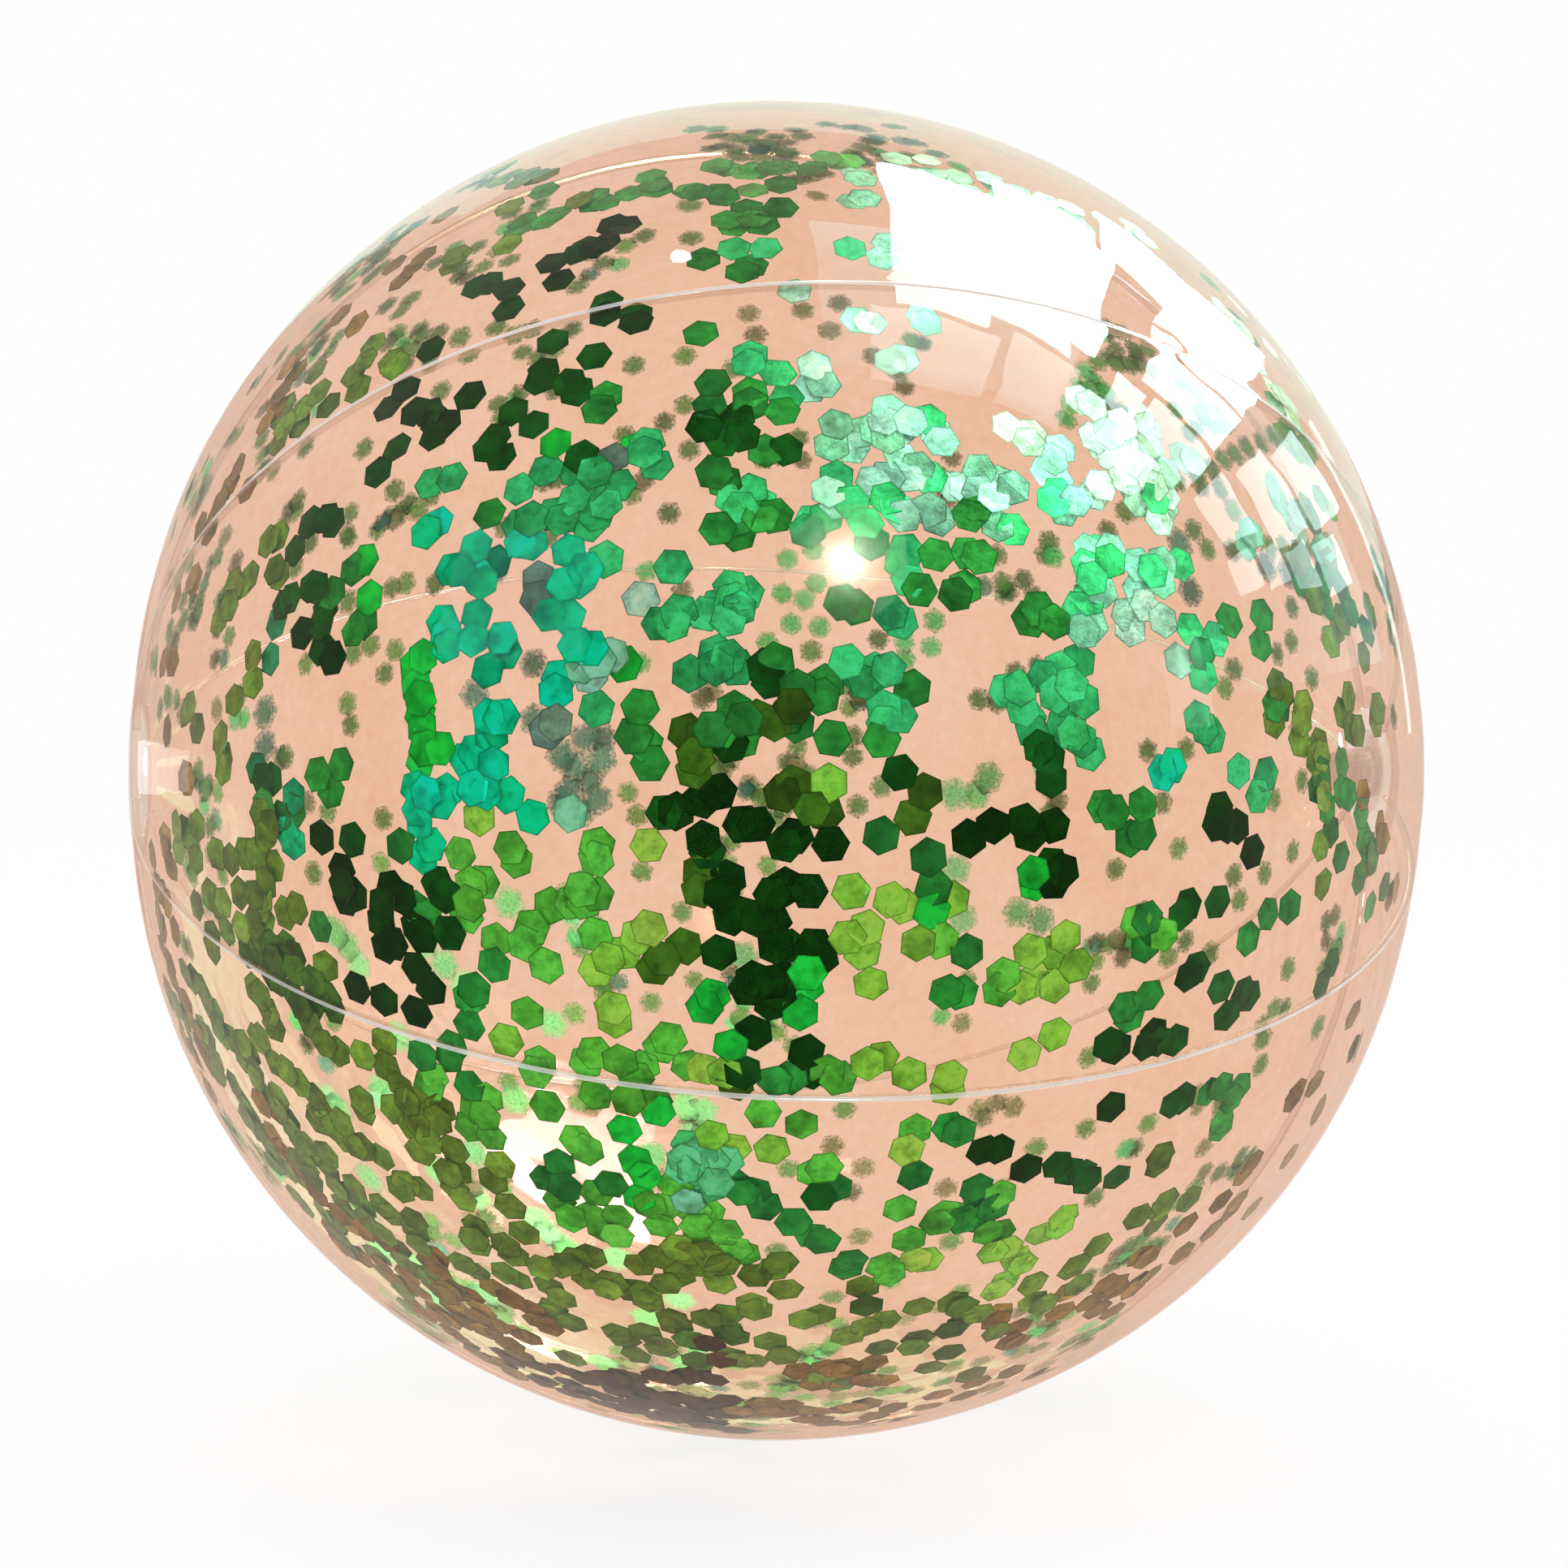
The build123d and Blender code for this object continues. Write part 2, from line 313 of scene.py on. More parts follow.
def maths(tree, operation, *values):
    """The result of one Math node."""
    return add(tree, "ShaderNodeMath", dict(enumerate(values)), operation=operation).outputs[0]


def attribute(tree, name, output="Fac"):
    """One output of a mesh attribute's node."""
    return add(tree, "ShaderNodeAttribute", attribute_name=name).outputs[output]


def mixed(tree, share, first, second):
    """Two shaders mixed by a share."""
    return add(tree, "ShaderNodeMixShader", {0: share, 1: first, 2: second}).outputs[0]


def spread(tree, value, low, high, to_low, to_high):
    """A value's range mapped to another."""
    values = {"Value": value, "From Min": low, "From Max": high, "To Min": to_low, "To Max": to_high}
    return add(tree, "ShaderNodeMapRange", values).outputs["Result"]


def mottled(tree, place, tint, spots):
    """The film's tint: a fine plaster-like grain and broad clouds between two tints."""
    both = maths(tree, "ADD", noise(tree, place, 260.0, 5.0, 0.65), noise(tree, place, 16.0, 2.0, 0.5))
    share = spread(tree, both, 0.80, 1.20, 0.0, 1.0)
    return add(tree, "ShaderNodeMix", {0: share, 6: tint, 7: spots}, data_type="RGBA").outputs[2]


def film_material(name, tint, spots, gloss, milk, at_edge=GLOSS_AT_EDGE):
    """Clear soft film: light goes straight through, tinted and faintly mottled, with a wet gloss that grows
    towards grazing angles, and a share of milky haze."""
    material, tree = new_material(name)
    milk_colour = (0.95, 0.93, 0.92, 1.0)
    place = add(tree, "ShaderNodeTexCoord").outputs["Object"]
    through = add(tree, "ShaderNodeBsdfTransparent", {"Color": mottled(tree, place, tint, spots)})
    slack = noise(tree, place, 26.0, 2.0, 0.45)
    relief = add(tree, "ShaderNodeBump", {"Strength": 0.12, "Distance": 0.004, "Height": slack})
    mirror = add(tree, "ShaderNodeBsdfGlossy", {"Roughness": 0.022, "Normal": relief.outputs["Normal"]})
    haze = add(tree, "ShaderNodeBsdfDiffuse", {"Color": milk_colour})
    glow = add(tree, "ShaderNodeBsdfTranslucent", {"Color": milk_colour})
    body = mixed(tree, milk, through.outputs[0], mixed(tree, 0.5, haze.outputs[0], glow.outputs[0]))
    facing = add(tree, "ShaderNodeLayerWeight", {"Blend": 0.5}).outputs["Facing"]
    edge = spread(tree, maths(tree, "POWER", facing, GLOSS_POWER), 0, 1, gloss, at_edge)
    add(tree, "ShaderNodeOutputMaterial", {"Surface": mixed(tree, edge, body, mirror.outputs[0])})
    return material


def inner_film_material(name, tint, spots):
    """The film's inner face: tinted, with no gloss of its own."""
    material, tree = new_material(name)
    place = add(tree, "ShaderNodeTexCoord").outputs["Object"]
    through = add(tree, "ShaderNodeBsdfTransparent", {"Color": mottled(tree, place, tint, spots)})
    add(tree, "ShaderNodeOutputMaterial", {"Surface": through.outputs[0]})
    return material


def flake_material(name):
    """Metallic film: the flake's tone, with painted light and dark crinkle facets and a painted shadow line
    along its edge in its colour, and a crinkled relief, under a satin mirror. The flake's inner side is
    speckled, and thins out towards its rim. Where the back of either face would show, the face is clear, so
    that only the side turned to the eye counts."""
    material, tree = new_material(name)
    place = add(tree, "ShaderNodeTexCoord").outputs["Object"]
    tone = add(tree, "ShaderNodeAttribute", attribute_name="tone")
    apart = attribute(tree, "apart", "Vector")
    own = add(tree, "ShaderNodeVectorMath", {0: place, 1: apart}, operation="ADD").outputs[0]
    crinkle = noise(tree, own, 300.0, 6.0, 0.7)
    # Painted light and shade: the crinkle noise lightens and darkens the flake's colour in facets, besides the
    # bump.
    fine = spread(tree, crinkle, 0.34, 0.68, 0.56, 1.36)
    sweep = spread(tree, noise(tree, own, 90.0, 1.0, 0.5), 0.3, 0.7, 0.66, 1.34)
    outward = attribute(tree, "outward")
    # Painted shadow: a thin dark line along the edge of each flake's outer side, for the shade where flakes
    # overlap.
    rim = spread(tree, outward, 0.90, 0.97, 1.0, 0.42)
    outer = maths(tree, "MULTIPLY", maths(tree, "MULTIPLY", fine, sweep), rim)
    speckle = noise(tree, place, 900.0, 3.0, 0.7)
    dusty = spread(tree, speckle, 0.35, 0.65, 0.72, 1.28)
    side = maths(tree, "GREATER_THAN", attribute(tree, "inner"), 0.002)
    back = add(tree, "ShaderNodeNewGeometry").outputs["Backfacing"]
    inward = maths(tree, "ABSOLUTE", maths(tree, "SUBTRACT", side, back))
    shade = add(tree, "ShaderNodeMix", {0: side, 2: outer, 3: dusty}, data_type="FLOAT").outputs[0]
    tinted = {0: 1.0, 6: tone.outputs["Color"], 7: shade}
    colour = add(tree, "ShaderNodeMix", tinted, data_type="RGBA", blend_type="MULTIPLY").outputs[2]
    relief = add(tree, "ShaderNodeBump", {"Strength": 0.45, "Distance": 0.0006, "Height": crinkle})
    metal = {
        "Base Color": colour,
        "Metallic": 0.8,
        "Roughness": tone.outputs["Alpha"],
        "Specular IOR Level": 0.1,
        "Normal": relief.outputs["Normal"],
    }
    surface = add(tree, "ShaderNodeBsdfPrincipled", metal)
    reach = maths(tree, "ADD", outward, spread(tree, speckle, 0.3, 0.7, -0.35, 0.35))
    clear = maths(tree, "MAXIMUM", spread(tree, reach, 0.55, 1.2, 0.10, 1.0), back)
    gone = maths(tree, "MULTIPLY", clear, inward)
    nothing = add(tree, "ShaderNodeBsdfTransparent")
    whole = mixed(tree, gone, surface.outputs[0], nothing.outputs[0])
    add(tree, "ShaderNodeOutputMaterial", {"Surface": whole})
    return material


# Flakes

# Tones of the flakes as linear red, green, blue and roughness. They are partly the flakes' own greens and
# partly
# painted light: pale and mint paint the window's reflection in flakes turned to it, black and dark the shade of
# flakes that mirror nothing bright. The film in front of a flake and the light that comes through the film to
# it take out most of the blue, so that the tones are bluer than the flakes look.
TONES = {
    "black": (0.002, 0.058, 0.004, 0.30),
    "dark": (0.004, 0.124, 0.015, 0.30),
    "deep": (0.020, 0.370, 0.072, 0.30),
    "mid": (0.036, 0.78, 0.32, 0.28),
    "leaf": (0.092, 0.74, 0.095, 0.30),
    "bright": (0.010, 0.92, 0.102, 0.26),
    "lime": (0.25, 1.0, 0.12, 0.28),
    "teal": (0.0, 0.98, 0.56, 0.26),
    "seagreen": (0.001, 0.29, 0.15, 0.28),
    "mint": (0.21, 1.0, 0.78, 0.24),
    "spring": (0.09, 1.0, 0.44, 0.24),
    "pale": (0.32, 0.97, 0.86, 0.22),
    "olive": (0.134, 0.38, 0.052, 0.34),
    "moss": (0.042, 0.198, 0.018, 0.34),
    "tan": (0.29, 0.26, 0.05, 0.40),
    "brown": (0.068, 0.047, 0.004, 0.40),
    "grey": (0.15, 0.45, 0.42, 0.40),
    "haze": (0.14, 0.44, 0.145, 0.6),
    "umber": (0.26, 0.375, 0.21, 0.6),
    "slate": (0.095, 0.395, 0.33, 0.6),
    "fresh": (0.115, 1.0, 0.34, 0.5),
    "jade": (0.21, 0.93, 0.42, 0.5),
}

# Flakes on the near wall where the photograph shows them, by tone, with the reflection and shade that each
# shows painted in: pixels x, y one pair after another
NEAR = {
    "black": [
    528,427, 497,477, 476,500, 507,503, 524,503, 533,515, 533,534, 577,485, 394,1032, 417,1072, 422,1109,
    478,1095, 468,1114, 465,1137, 470,1168, 507,1145, 434,1220, 468,1235, 509,1195, 526,1221, 509,1250,
    832,1000, 866,1034, 884,976, 889,1103, 885,1175, 755,273, 744,294, 709,308, 721,298, 679,321, 686,340,
    883,982, 915,1016, 967,1041, 1024,1041, 902,1099, 900,1133, 951,1103, 951,1137, 997,1099, 972,1168,
    1003,1168, 883,1175, 921,1221, 965,1210, 951,1240, 928,1275, 994,1300, 1196,1034, 1225,1018, 1263,1013,
    1302,1018, 1298,1068, 1302,1087, 1378,1294, 1416,1290, 1509,996, 1502,1015, 1529,1019, 1546,1050,
    1215,1422, 1372,1367, 1267,1444, 899,917, 369,779, 406,810, 418,1075, 995,1311],
    "dark": [
    629,503, 656,521, 606,534, 614,559, 484,547, 463,580, 679,417, 667,452, 731,436, 378,641, 405,641,
    357,676, 378,721, 396,748, 392,767, 392,798, 353,736, 428,1036, 535,1089, 551,1151, 585,348, 625,352,
    623,375, 744,383, 782,383, 868,523, 907,511, 891,542, 914,534, 968,550, 715,561, 949,837, 834,997,
    1294,934, 1298,961, 1110,952, 866,1034, 1299,1081, 1380,1293, 1433,1287, 1452,1285, 1458,1128,
    1506,1113, 1468,1203, 1544,1230, 1515,1253, 1646,1188, 1634,1215, 1305,1438, 1320,1447, 1342,1457,
    1378,1453, 1010,1478, 915,1323, 1449,1362, 319,960, 708,477],
    "deep": [
    744,484, 736,500, 863,408, 600,630, 430,699, 432,775, 405,729, 433,774, 491,1043, 388,954, 417,942,
    403,975, 509,1122, 606,1191, 574,1233, 574,1267, 390,1143, 518,1302, 549,1306, 576,1340, 896,919,
    904,873, 982,892, 1026,909, 1087,1030, 1145,1057, 1152,1095, 1087,911, 1194,1175, 1185,1225, 1374,1001,
    1416,1133, 1416,1168, 1390,1244, 1418,1229, 878,469, 874,497, 878,524, 897,543, 924,494, 916,524,
    943,551, 973,547, 731,235, 744,243, 774,231, 801,214, 809,231, 849,228, 885,231, 927,230, 962,220,
    897,203, 931,203, 966,199, 1000,203, 1019,191, 1046,193, 920,252, 962,249, 904,275, 939,273, 866,314,
    924,321, 682,260, 667,228, 642,268, 1196,633, 1194,679, 1154,682, 1134,725, 1192,721, 1272,761,
    1301,765, 1519,763, 1559,757, 1559,793, 1584,870, 1410,992, 1398,1034, 1299,1054, 736,508, 933,550,
    964,504, 880,580, 892,590, 937,634, 907,638, 884,649, 1039,741, 956,814, 983,848, 1018,841, 1125,848,
    788,871, 780,906, 799,940, 907,875, 895,894, 1194,672, 1186,714, 1197,722, 1508,1218, 1565,1127,
    1594,1119, 1544,1159, 1508,1341, 1521,1356, 1510,1393, 1205,1467, 1225,1491, 1188,1505, 687,1438,
    694,1465, 671,1457, 752,1461, 930,1472, 915,1472, 942,1491, 978,1510, 1014,1535, 1030,1468, 1129,1453,
    1171,1392, 955,1334, 1049,1556, 1206,1468, 1190,1507, 356,999, 339,1008, 321,992, 378,724, 1583,535,
    1593,527, 1604,548, 1614,558, 1630,613, 1640,624, 1653,718],
    "mid": [
    671,576, 637,599, 706,576, 732,580, 706,614, 732,630, 652,637, 679,630, 759,595, 526,591, 554,586,
    744,687, 828,697, 828,767, 849,829, 882,821, 884,744, 882,645, 1091,873, 1135,858, 1263,873, 1275,900,
    1319,861, 1325,904, 1346,927, 1411,988, 904,302, 943,302, 924,432, 958,455, 969,486, 966,497, 1048,302,
    1146,513, 1031,585, 1146,585, 881,585, 924,601, 904,612, 935,616, 1050,616, 1333,813, 1310,824,
    1322,843, 1337,862, 1303,855, 1259,847, 1272,885, 1284,904, 1322,904, 1129,843, 1108,881, 1471,774,
    1502,786, 1483,805, 1485,832, 1481,885, 1500,906, 1529,950, 1565,954, 1555,981, 796,542, 807,569,
    1018,634, 995,653, 1067,642, 1075,665, 1106,622, 1194,634, 1251,649, 1113,691, 1148,688, 1136,722,
    1278,764, 1297,764, 746,688, 828,768, 918,730, 910,749, 888,745, 900,722, 1098,754, 738,638, 845,833,
    880,821, 907,821, 1044,814, 1079,825, 1068,840, 1090,864, 1094,883, 1263,856, 1274,883, 1289,833,
    733,873, 1306,605, 1342,694, 1371,689, 1423,702, 1345,736, 1457,693, 1426,613],
    "leaf": [
    564,1053, 627,1045, 593,1088, 576,1114, 734,1042, 652,1145, 675,1118, 702,1114, 715,1097, 644,1164,
    671,1191, 608,1160, 731,1154, 648,1250, 731,1300, 763,1309, 790,1317, 813,1294, 847,1317, 658,1323,
    673,1365, 732,1352, 773,1357, 805,1359, 526,1340, 599,1355, 955,1334, 1034,1332, 1400,1038, 1233,1221,
    1161,1161, 1232,1230, 1238,1203, 1418,1132, 1437,1153, 1414,1169, 1173,1394, 1165,1498, 1227,1486,
    1219,1521, 576,1392, 595,1377, 602,1404, 709,1407, 721,1419, 687,1484, 702,1503, 725,1503, 740,1518,
    759,1526, 759,1503, 732,1476, 770,1503, 817,1492, 813,1515, 855,1499, 859,1515, 893,1522, 850,1495,
    857,1518, 831,1465, 900,1524, 915,1551, 940,1375, 988,1390, 1016,1442, 1129,1396, 1110,1493, 1160,1501,
    1121,1530, 1089,1562],
    "bright": [
    451,735, 507,819, 509,844, 512,878, 683,544, 796,538, 767,817, 877,1229, 995,1200, 986,1250, 900,1290,
    1275,1076, 782,1434, 794,1450, 786,1480, 794,1365, 808,1372, 386,954, 402,976, 431,697, 520,922,
    540,922, 1030,1333, 768,1395, 1150,1125],
    "lime": [
    587,1007, 798,1042, 748,1183, 732,1198, 767,1176, 799,1145, 755,1260, 620,1285, 1022,965, 1049,1099,
    865,1321, 907,1328, 1070,1313, 1122,1328, 1171,1328, 1045,1156, 1068,1145, 1064,1175, 1074,1214,
    1114,1118, 1175,1110, 1156,1160, 1133,1164, 1273,1175, 1315,1156, 1305,1175, 1328,1191, 1302,1217,
    1261,1219, 1302,1277, 1265,1302, 893,1325, 1068,1313, 1121,1333, 1265,1308, 877,1401, 903,1419,
    951,1419, 1118,1419, 1221,1522, 1309,1516, 1286,1526, 1242,1540, 1225,1545, 1255,1556, 1240,1583,
    671,1369, 736,1358, 801,1377, 878,1396, 1143,1558],
    "teal": [
    535,641, 552,699, 546,779, 652,668, 698,676, 583,672, 564,702, 583,706, 583,756, 549,777, 581,787,
    620,802, 599,825, 694,718, 675,756, 698,758, 708,794, 683,852, 600,882, 530,923, 545,923, 583,927,
    606,942, 602,904, 509,971, 545,975, 581,971, 623,980, 654,1007, 514,1015, 528,1042, 355,1003, 348,1027,
    1448,943, 711,714, 708,783, 731,584, 543,973],
    "seagreen": [
    334,765, 329,811, 359,733, 358,677, 319,957, 355,999, 606,691, 339,1012],
    "mint": [
    807,568, 752,806, 725,832, 738,873, 700,1003, 1057,210, 1052,241, 1096,295, 1088,314, 1004,448,
    1015,471, 1058,390, 1142,394, 1031,520, 1050,547, 1065,528, 1096,501, 1123,517, 1111,559, 1077,589,
    1115,616, 797,543, 809,566, 1123,583, 1192,598, 1226,610, 1249,644, 1157,637, 1115,633, 1291,579,
    1314,625, 1425,606, 1345,675, 1374,675, 1345,728, 1349,767, 1456,694, 1406,694, 1429,705, 1406,725,
    1632,679, 1025,523, 1025,546, 1048,550, 1090,515, 1106,527, 1140,511, 1155,527, 1106,565, 1132,573,
    1152,580, 1037,588, 1021,603, 1178,596, 1209,577, 1209,603, 1236,590, 1311,548, 1298,563, 1306,587,
    1319,626, 1402,694, 1434,715, 1545,655, 1541,668, 1580,613, 1635,681, 847,1484],
    "spring": [
    843,1430, 862,1423, 893,1434, 828,1465, 874,1469, 838,1426, 877,1434, 896,1445, 877,1472, 855,1445,
    599,1378],
    "pale": [
    788,736, 979,352, 1073,394, 1113,436, 1351,606, 1414,571, 1431,640, 1544,658, 1597,637, 1393,755,
    1437,763, 1456,813, 1243,523, 1270,542, 1289,569, 1388,588, 1372,560, 1400,600, 1349,495, 1350,537,
    1368,532, 1389,542, 1395,566, 1410,579, 1423,595, 1431,645, 1415,744, 1601,631, 1604,652, 1420,545,
    1440,620, 1360,530, 1385,520, 1410,510, 1440,580, 1462,560],
    "olive": [
    457,423, 478,440, 384,454, 432,457, 447,442, 436,475, 390,482, 400,496, 346,496, 348,522, 363,519,
    340,542, 326,665, 334,700, 308,807, 308,840, 317,1003, 323,1030, 311,1053, 331,1068, 361,1120, 317,1118,
    396,1193, 378,1264, 396,1287, 411,1298, 444,1302, 468,1287, 472,1317, 491,1340, 308,1221, 325,1248,
    331,1267, 311,1283, 334,1313, 350,1321, 365,1336, 311,1321, 388,1367, 407,1394, 442,1359, 480,1371,
    499,1359, 510,1386, 537,1382, 623,296, 625,249, 721,235, 1661,878, 1678,900, 1636,966, 1634,1042,
    1431,1438, 1404,1502, 1439,1484, 1470,1482, 1429,1513, 1357,1540, 1632,1090, 284,724, 292,718, 265,763,
    278,745, 284,862, 227,871, 238,897, 268,909, 267,932, 262,1053, 280,1060, 297,1053, 316,1053, 329,1069,
    237,1018, 214,1018, 214,1047, 237,1059, 442,1373, 419,1407, 434,1415, 388,1377, 409,1388, 375,1411,
    399,1425, 399,1446, 465,1430, 484,1381, 503,1392, 530,1381, 514,1423, 526,1407, 556,1419, 560,1446,
    556,1469, 614,1438, 604,1459, 491,1467, 514,1469, 434,1465, 465,1492, 625,1492, 644,1522, 583,1518,
    583,1538, 621,1538, 507,1507, 507,1522, 514,1538, 568,1561, 583,1572, 621,1572, 667,1564, 698,1561,
    721,1580, 725,1553, 752,1584, 775,1595, 786,1564, 809,1553, 847,1549, 836,1576, 866,1564, 878,1557,
    797,1606, 886,1587, 870,1629, 893,1626, 675,1591, 690,1603, 679,1618, 702,1633, 759,1649, 794,1645,
    832,1639, 813,1660, 782,1675, 702,1677, 808,1367, 953,1568, 930,1576, 968,1595, 926,1610, 888,1589,
    831,1560, 854,1564, 877,1556, 834,1583, 873,1627, 991,1629, 1010,1625, 1064,1591, 1133,1614, 1187,1614,
    1206,1621, 1133,1656, 1068,1641, 1091,1633, 1045,1652, 1087,1665, 1275,1585, 1276,1610, 1332,1589,
    1359,1537, 1328,1560, 1229,1644, 949,1660, 899,1675, 926,1683, 965,1675, 831,1637, 1148,1692, 1198,1698,
    1060,1694, 1014,1702, 1037,1713, 1079,1709, 846,1319, 554,321, 374,501, 353,514],
    "moss": [
    805,1195, 842,1168, 863,1076, 861,1098, 865,907, 854,950, 934,884, 1001,997, 1110,953, 1141,976,
    1126,1007, 1140,978, 845,902, 842,944, 937,890, 983,887, 1027,909, 1087,909, 1021,971, 991,990,
    1111,954, 1138,985, 1123,1011, 861,1662, 859,1687, 1068,1612, 1173,1641, 896,1644, 1171,1671, 892,1327,
    964,978, 859,1679],
    "tan": [
    243,648, 268,616, 232,710, 213,737, 209,814, 195,815, 198,900, 222,957, 1498,1521, 1548,1494, 1674,1253,
    1674,1295, 1603,1349, 1626,1339, 1630,1370, 1594,1429, 377,1457, 361,1438, 388,1476, 346,1419, 334,1400,
    319,1361, 334,1373, 403,1522, 415,1537, 442,1553, 415,1499, 426,1511, 445,1518, 472,1534, 468,1564,
    484,1580, 499,1576, 514,1595, 507,1610, 533,1553, 537,1568, 606,1591, 629,1603, 652,1618, 660,1633,
    560,1595, 576,1603, 553,1618, 549,1629, 568,1633, 610,1637, 591,1618, 595,1644, 648,1652, 1309,1621,
    1355,1618, 1374,1621, 1255,1658, 1221,1713, 1278,1698, 991,1744, 1068,1736, 1144,1740, 945,1732,
    520,313, 507,326, 490,339, 546,261, 481,321, 434,394, 417,386, 361,437, 359,454, 344,480, 336,501,
    323,518, 289,574, 280,591, 300,600, 255,640],
    "brown": [
    618,1675, 644,1683, 664,1691, 698,1710, 721,1717, 759,1717, 778,1706, 809,1698, 843,1702, 878,1706,
    817,1725, 855,1733, 886,1737, 823,1702, 877,1709, 896,1729, 863,1662, 889,1679, 740,1700, 790,1730,
    835,1745, 700,1722, 665,1705],
    "grey": [
    713,561, 754,561, 660,710, 660,735, 683,890],
}


# Flakes on the far wall that the photograph shows through the near one, by the tone of their inner side. Partly
# painted light: the slate flakes at the middle left paint a grey reflection of the room, and the jade ones at
# the lower left paint far flakes that are lit bright.
FAR = {
    "haze": [
    780,448, 610,400, 632,410, 655,404, 679,428, 703,402, 682,478, 843,436, 904,451, 818,517, 843,497,
    849,553, 851,291, 849,249, 793,287, 770,298, 709,348, 541,480, 445,551, 373,549, 363,614, 824,632,
    484,603, 491,630, 512,626, 620,649, 778,607, 533,718, 480,723, 499,718, 470,829, 453,794, 484,800,
    373,817, 426,867, 342,934, 401,1000, 470,1009, 384,1076, 468,1065, 773,977, 784,1005, 790,1074,
    840,1124, 706,1250, 801,1237, 625,1336, 971,940, 993,955, 1051,932, 1051,907, 890,946, 928,974, 961,976,
    965,995, 1057,993, 1087,969, 1208,861, 1229,865, 946,1068, 1230,682, 1289,682, 1238,717, 1263,713,
    1253,828, 1280,820, 1416,925, 1464,923, 1523,824, 1513,847, 1435,989, 1620,835, 1594,790, 1578,805,
    1597,747, 1636,747, 1636,786, 1601,897, 1607,962, 1574,985, 1666,966, 1454,1046, 1597,1050, 1378,1072,
    1344,1305, 1341,1394, 1418,1387, 1399,1417, 1278,1417, 1351,1479, 1525,1080, 1530,1110, 1563,1077,
    1464,1161, 1494,1176, 1441,1180, 1561,1283, 1628,1268, 1533,1429, 1506,1448, 1556,1314, 1479,1352,
    1590,1195, 1575,1245, 769,534, 819,515, 1000,802, 1083,787, 380,667, 363,616, 361,699, 503,716, 377,823,
    450,791, 431,804, 482,801, 348,932, 425,871, 428,893, 425,740, 769,978, 891,948, 930,975, 995,955,
    1044,906, 972,1442, 957,1545, 1026,1602, 1098,1583, 1173,1533, 1041,1369, 1003,1667, 503,364, 490,381,
    473,373, 516,411, 537,407, 563,411, 576,435, 503,428, 1368,401, 1372,438, 1392,446, 1365,492, 1385,505,
    1400,515, 1389,629, 1368,652, 1295,665, 1452,591, 1395,597, 1478,579, 1496,577, 1512,563, 1525,558,
    1541,548, 1557,543, 1572,537, 1481,597, 1523,676, 1540,676, 1567,673, 1585,673, 1614,673, 1643,670,
    1508,600, 1522,628, 1473,652, 1489,676, 1609,723],
    "umber": [
    840,726, 792,590, 865,860, 876,852, 1064,1442, 1049,1472, 1060,1526, 1207,1369, 1230,1362, 1250,1366,
    1213,1380, 1026,1415, 1167,1468, 1343,1392, 1278,1415, 1349,1476, 1236,1465, 922,383, 931,409, 989,379,
    1035,371, 1023,405, 1077,436, 275,661, 288,692, 476,721, 264,874, 374,989, 406,999, 471,1011],
    "slate": [
    606,700, 583,855, 656,817, 683,890, 656,886, 532,724, 323,877, 324,919, 719,909, 742,909, 690,930,
    705,945, 725,960, 700,975, 735,985, 715,1000, 690,990, 740,935, 1562,697, 1591,705, 1457,668, 1470,728],
    "fresh": [
    1152,764, 1115,790, 1148,797, 1115,812, 847,553, 796,703, 750,798, 788,817, 945,791, 964,730, 991,737,
    975,768, 1010,772, 1006,718, 1002,676, 970,687, 1300,684, 961,1713, 1389,1419, 1340,456, 1333,475,
    1322,495, 1315,515, 1352,468, 1365,480, 1345,480],
    "jade": [
    410,1150, 425,1165, 440,1190, 520,1165, 545,1190, 570,1215, 625,1114, 679,1264, 487,1279, 468,1344,
    405,1355, 845,1366, 865,1372, 915,1179, 1179,1072, 1187,1133, 1256,1125, 1284,1135, 1177,979, 1204,979,
    1218,958, 415,1369, 468,1354, 633,1358, 583,1423, 583,1476, 675,1522, 690,1535, 700,1545, 660,1505,
    537,1446, 442,1492, 453,1453, 465,1545, 507,1557, 537,1603, 595,1599, 591,1626, 740,1683, 759,1553,
    797,1626, 836,1606, 836,1679, 801,1427, 855,1385, 870,1400],
}


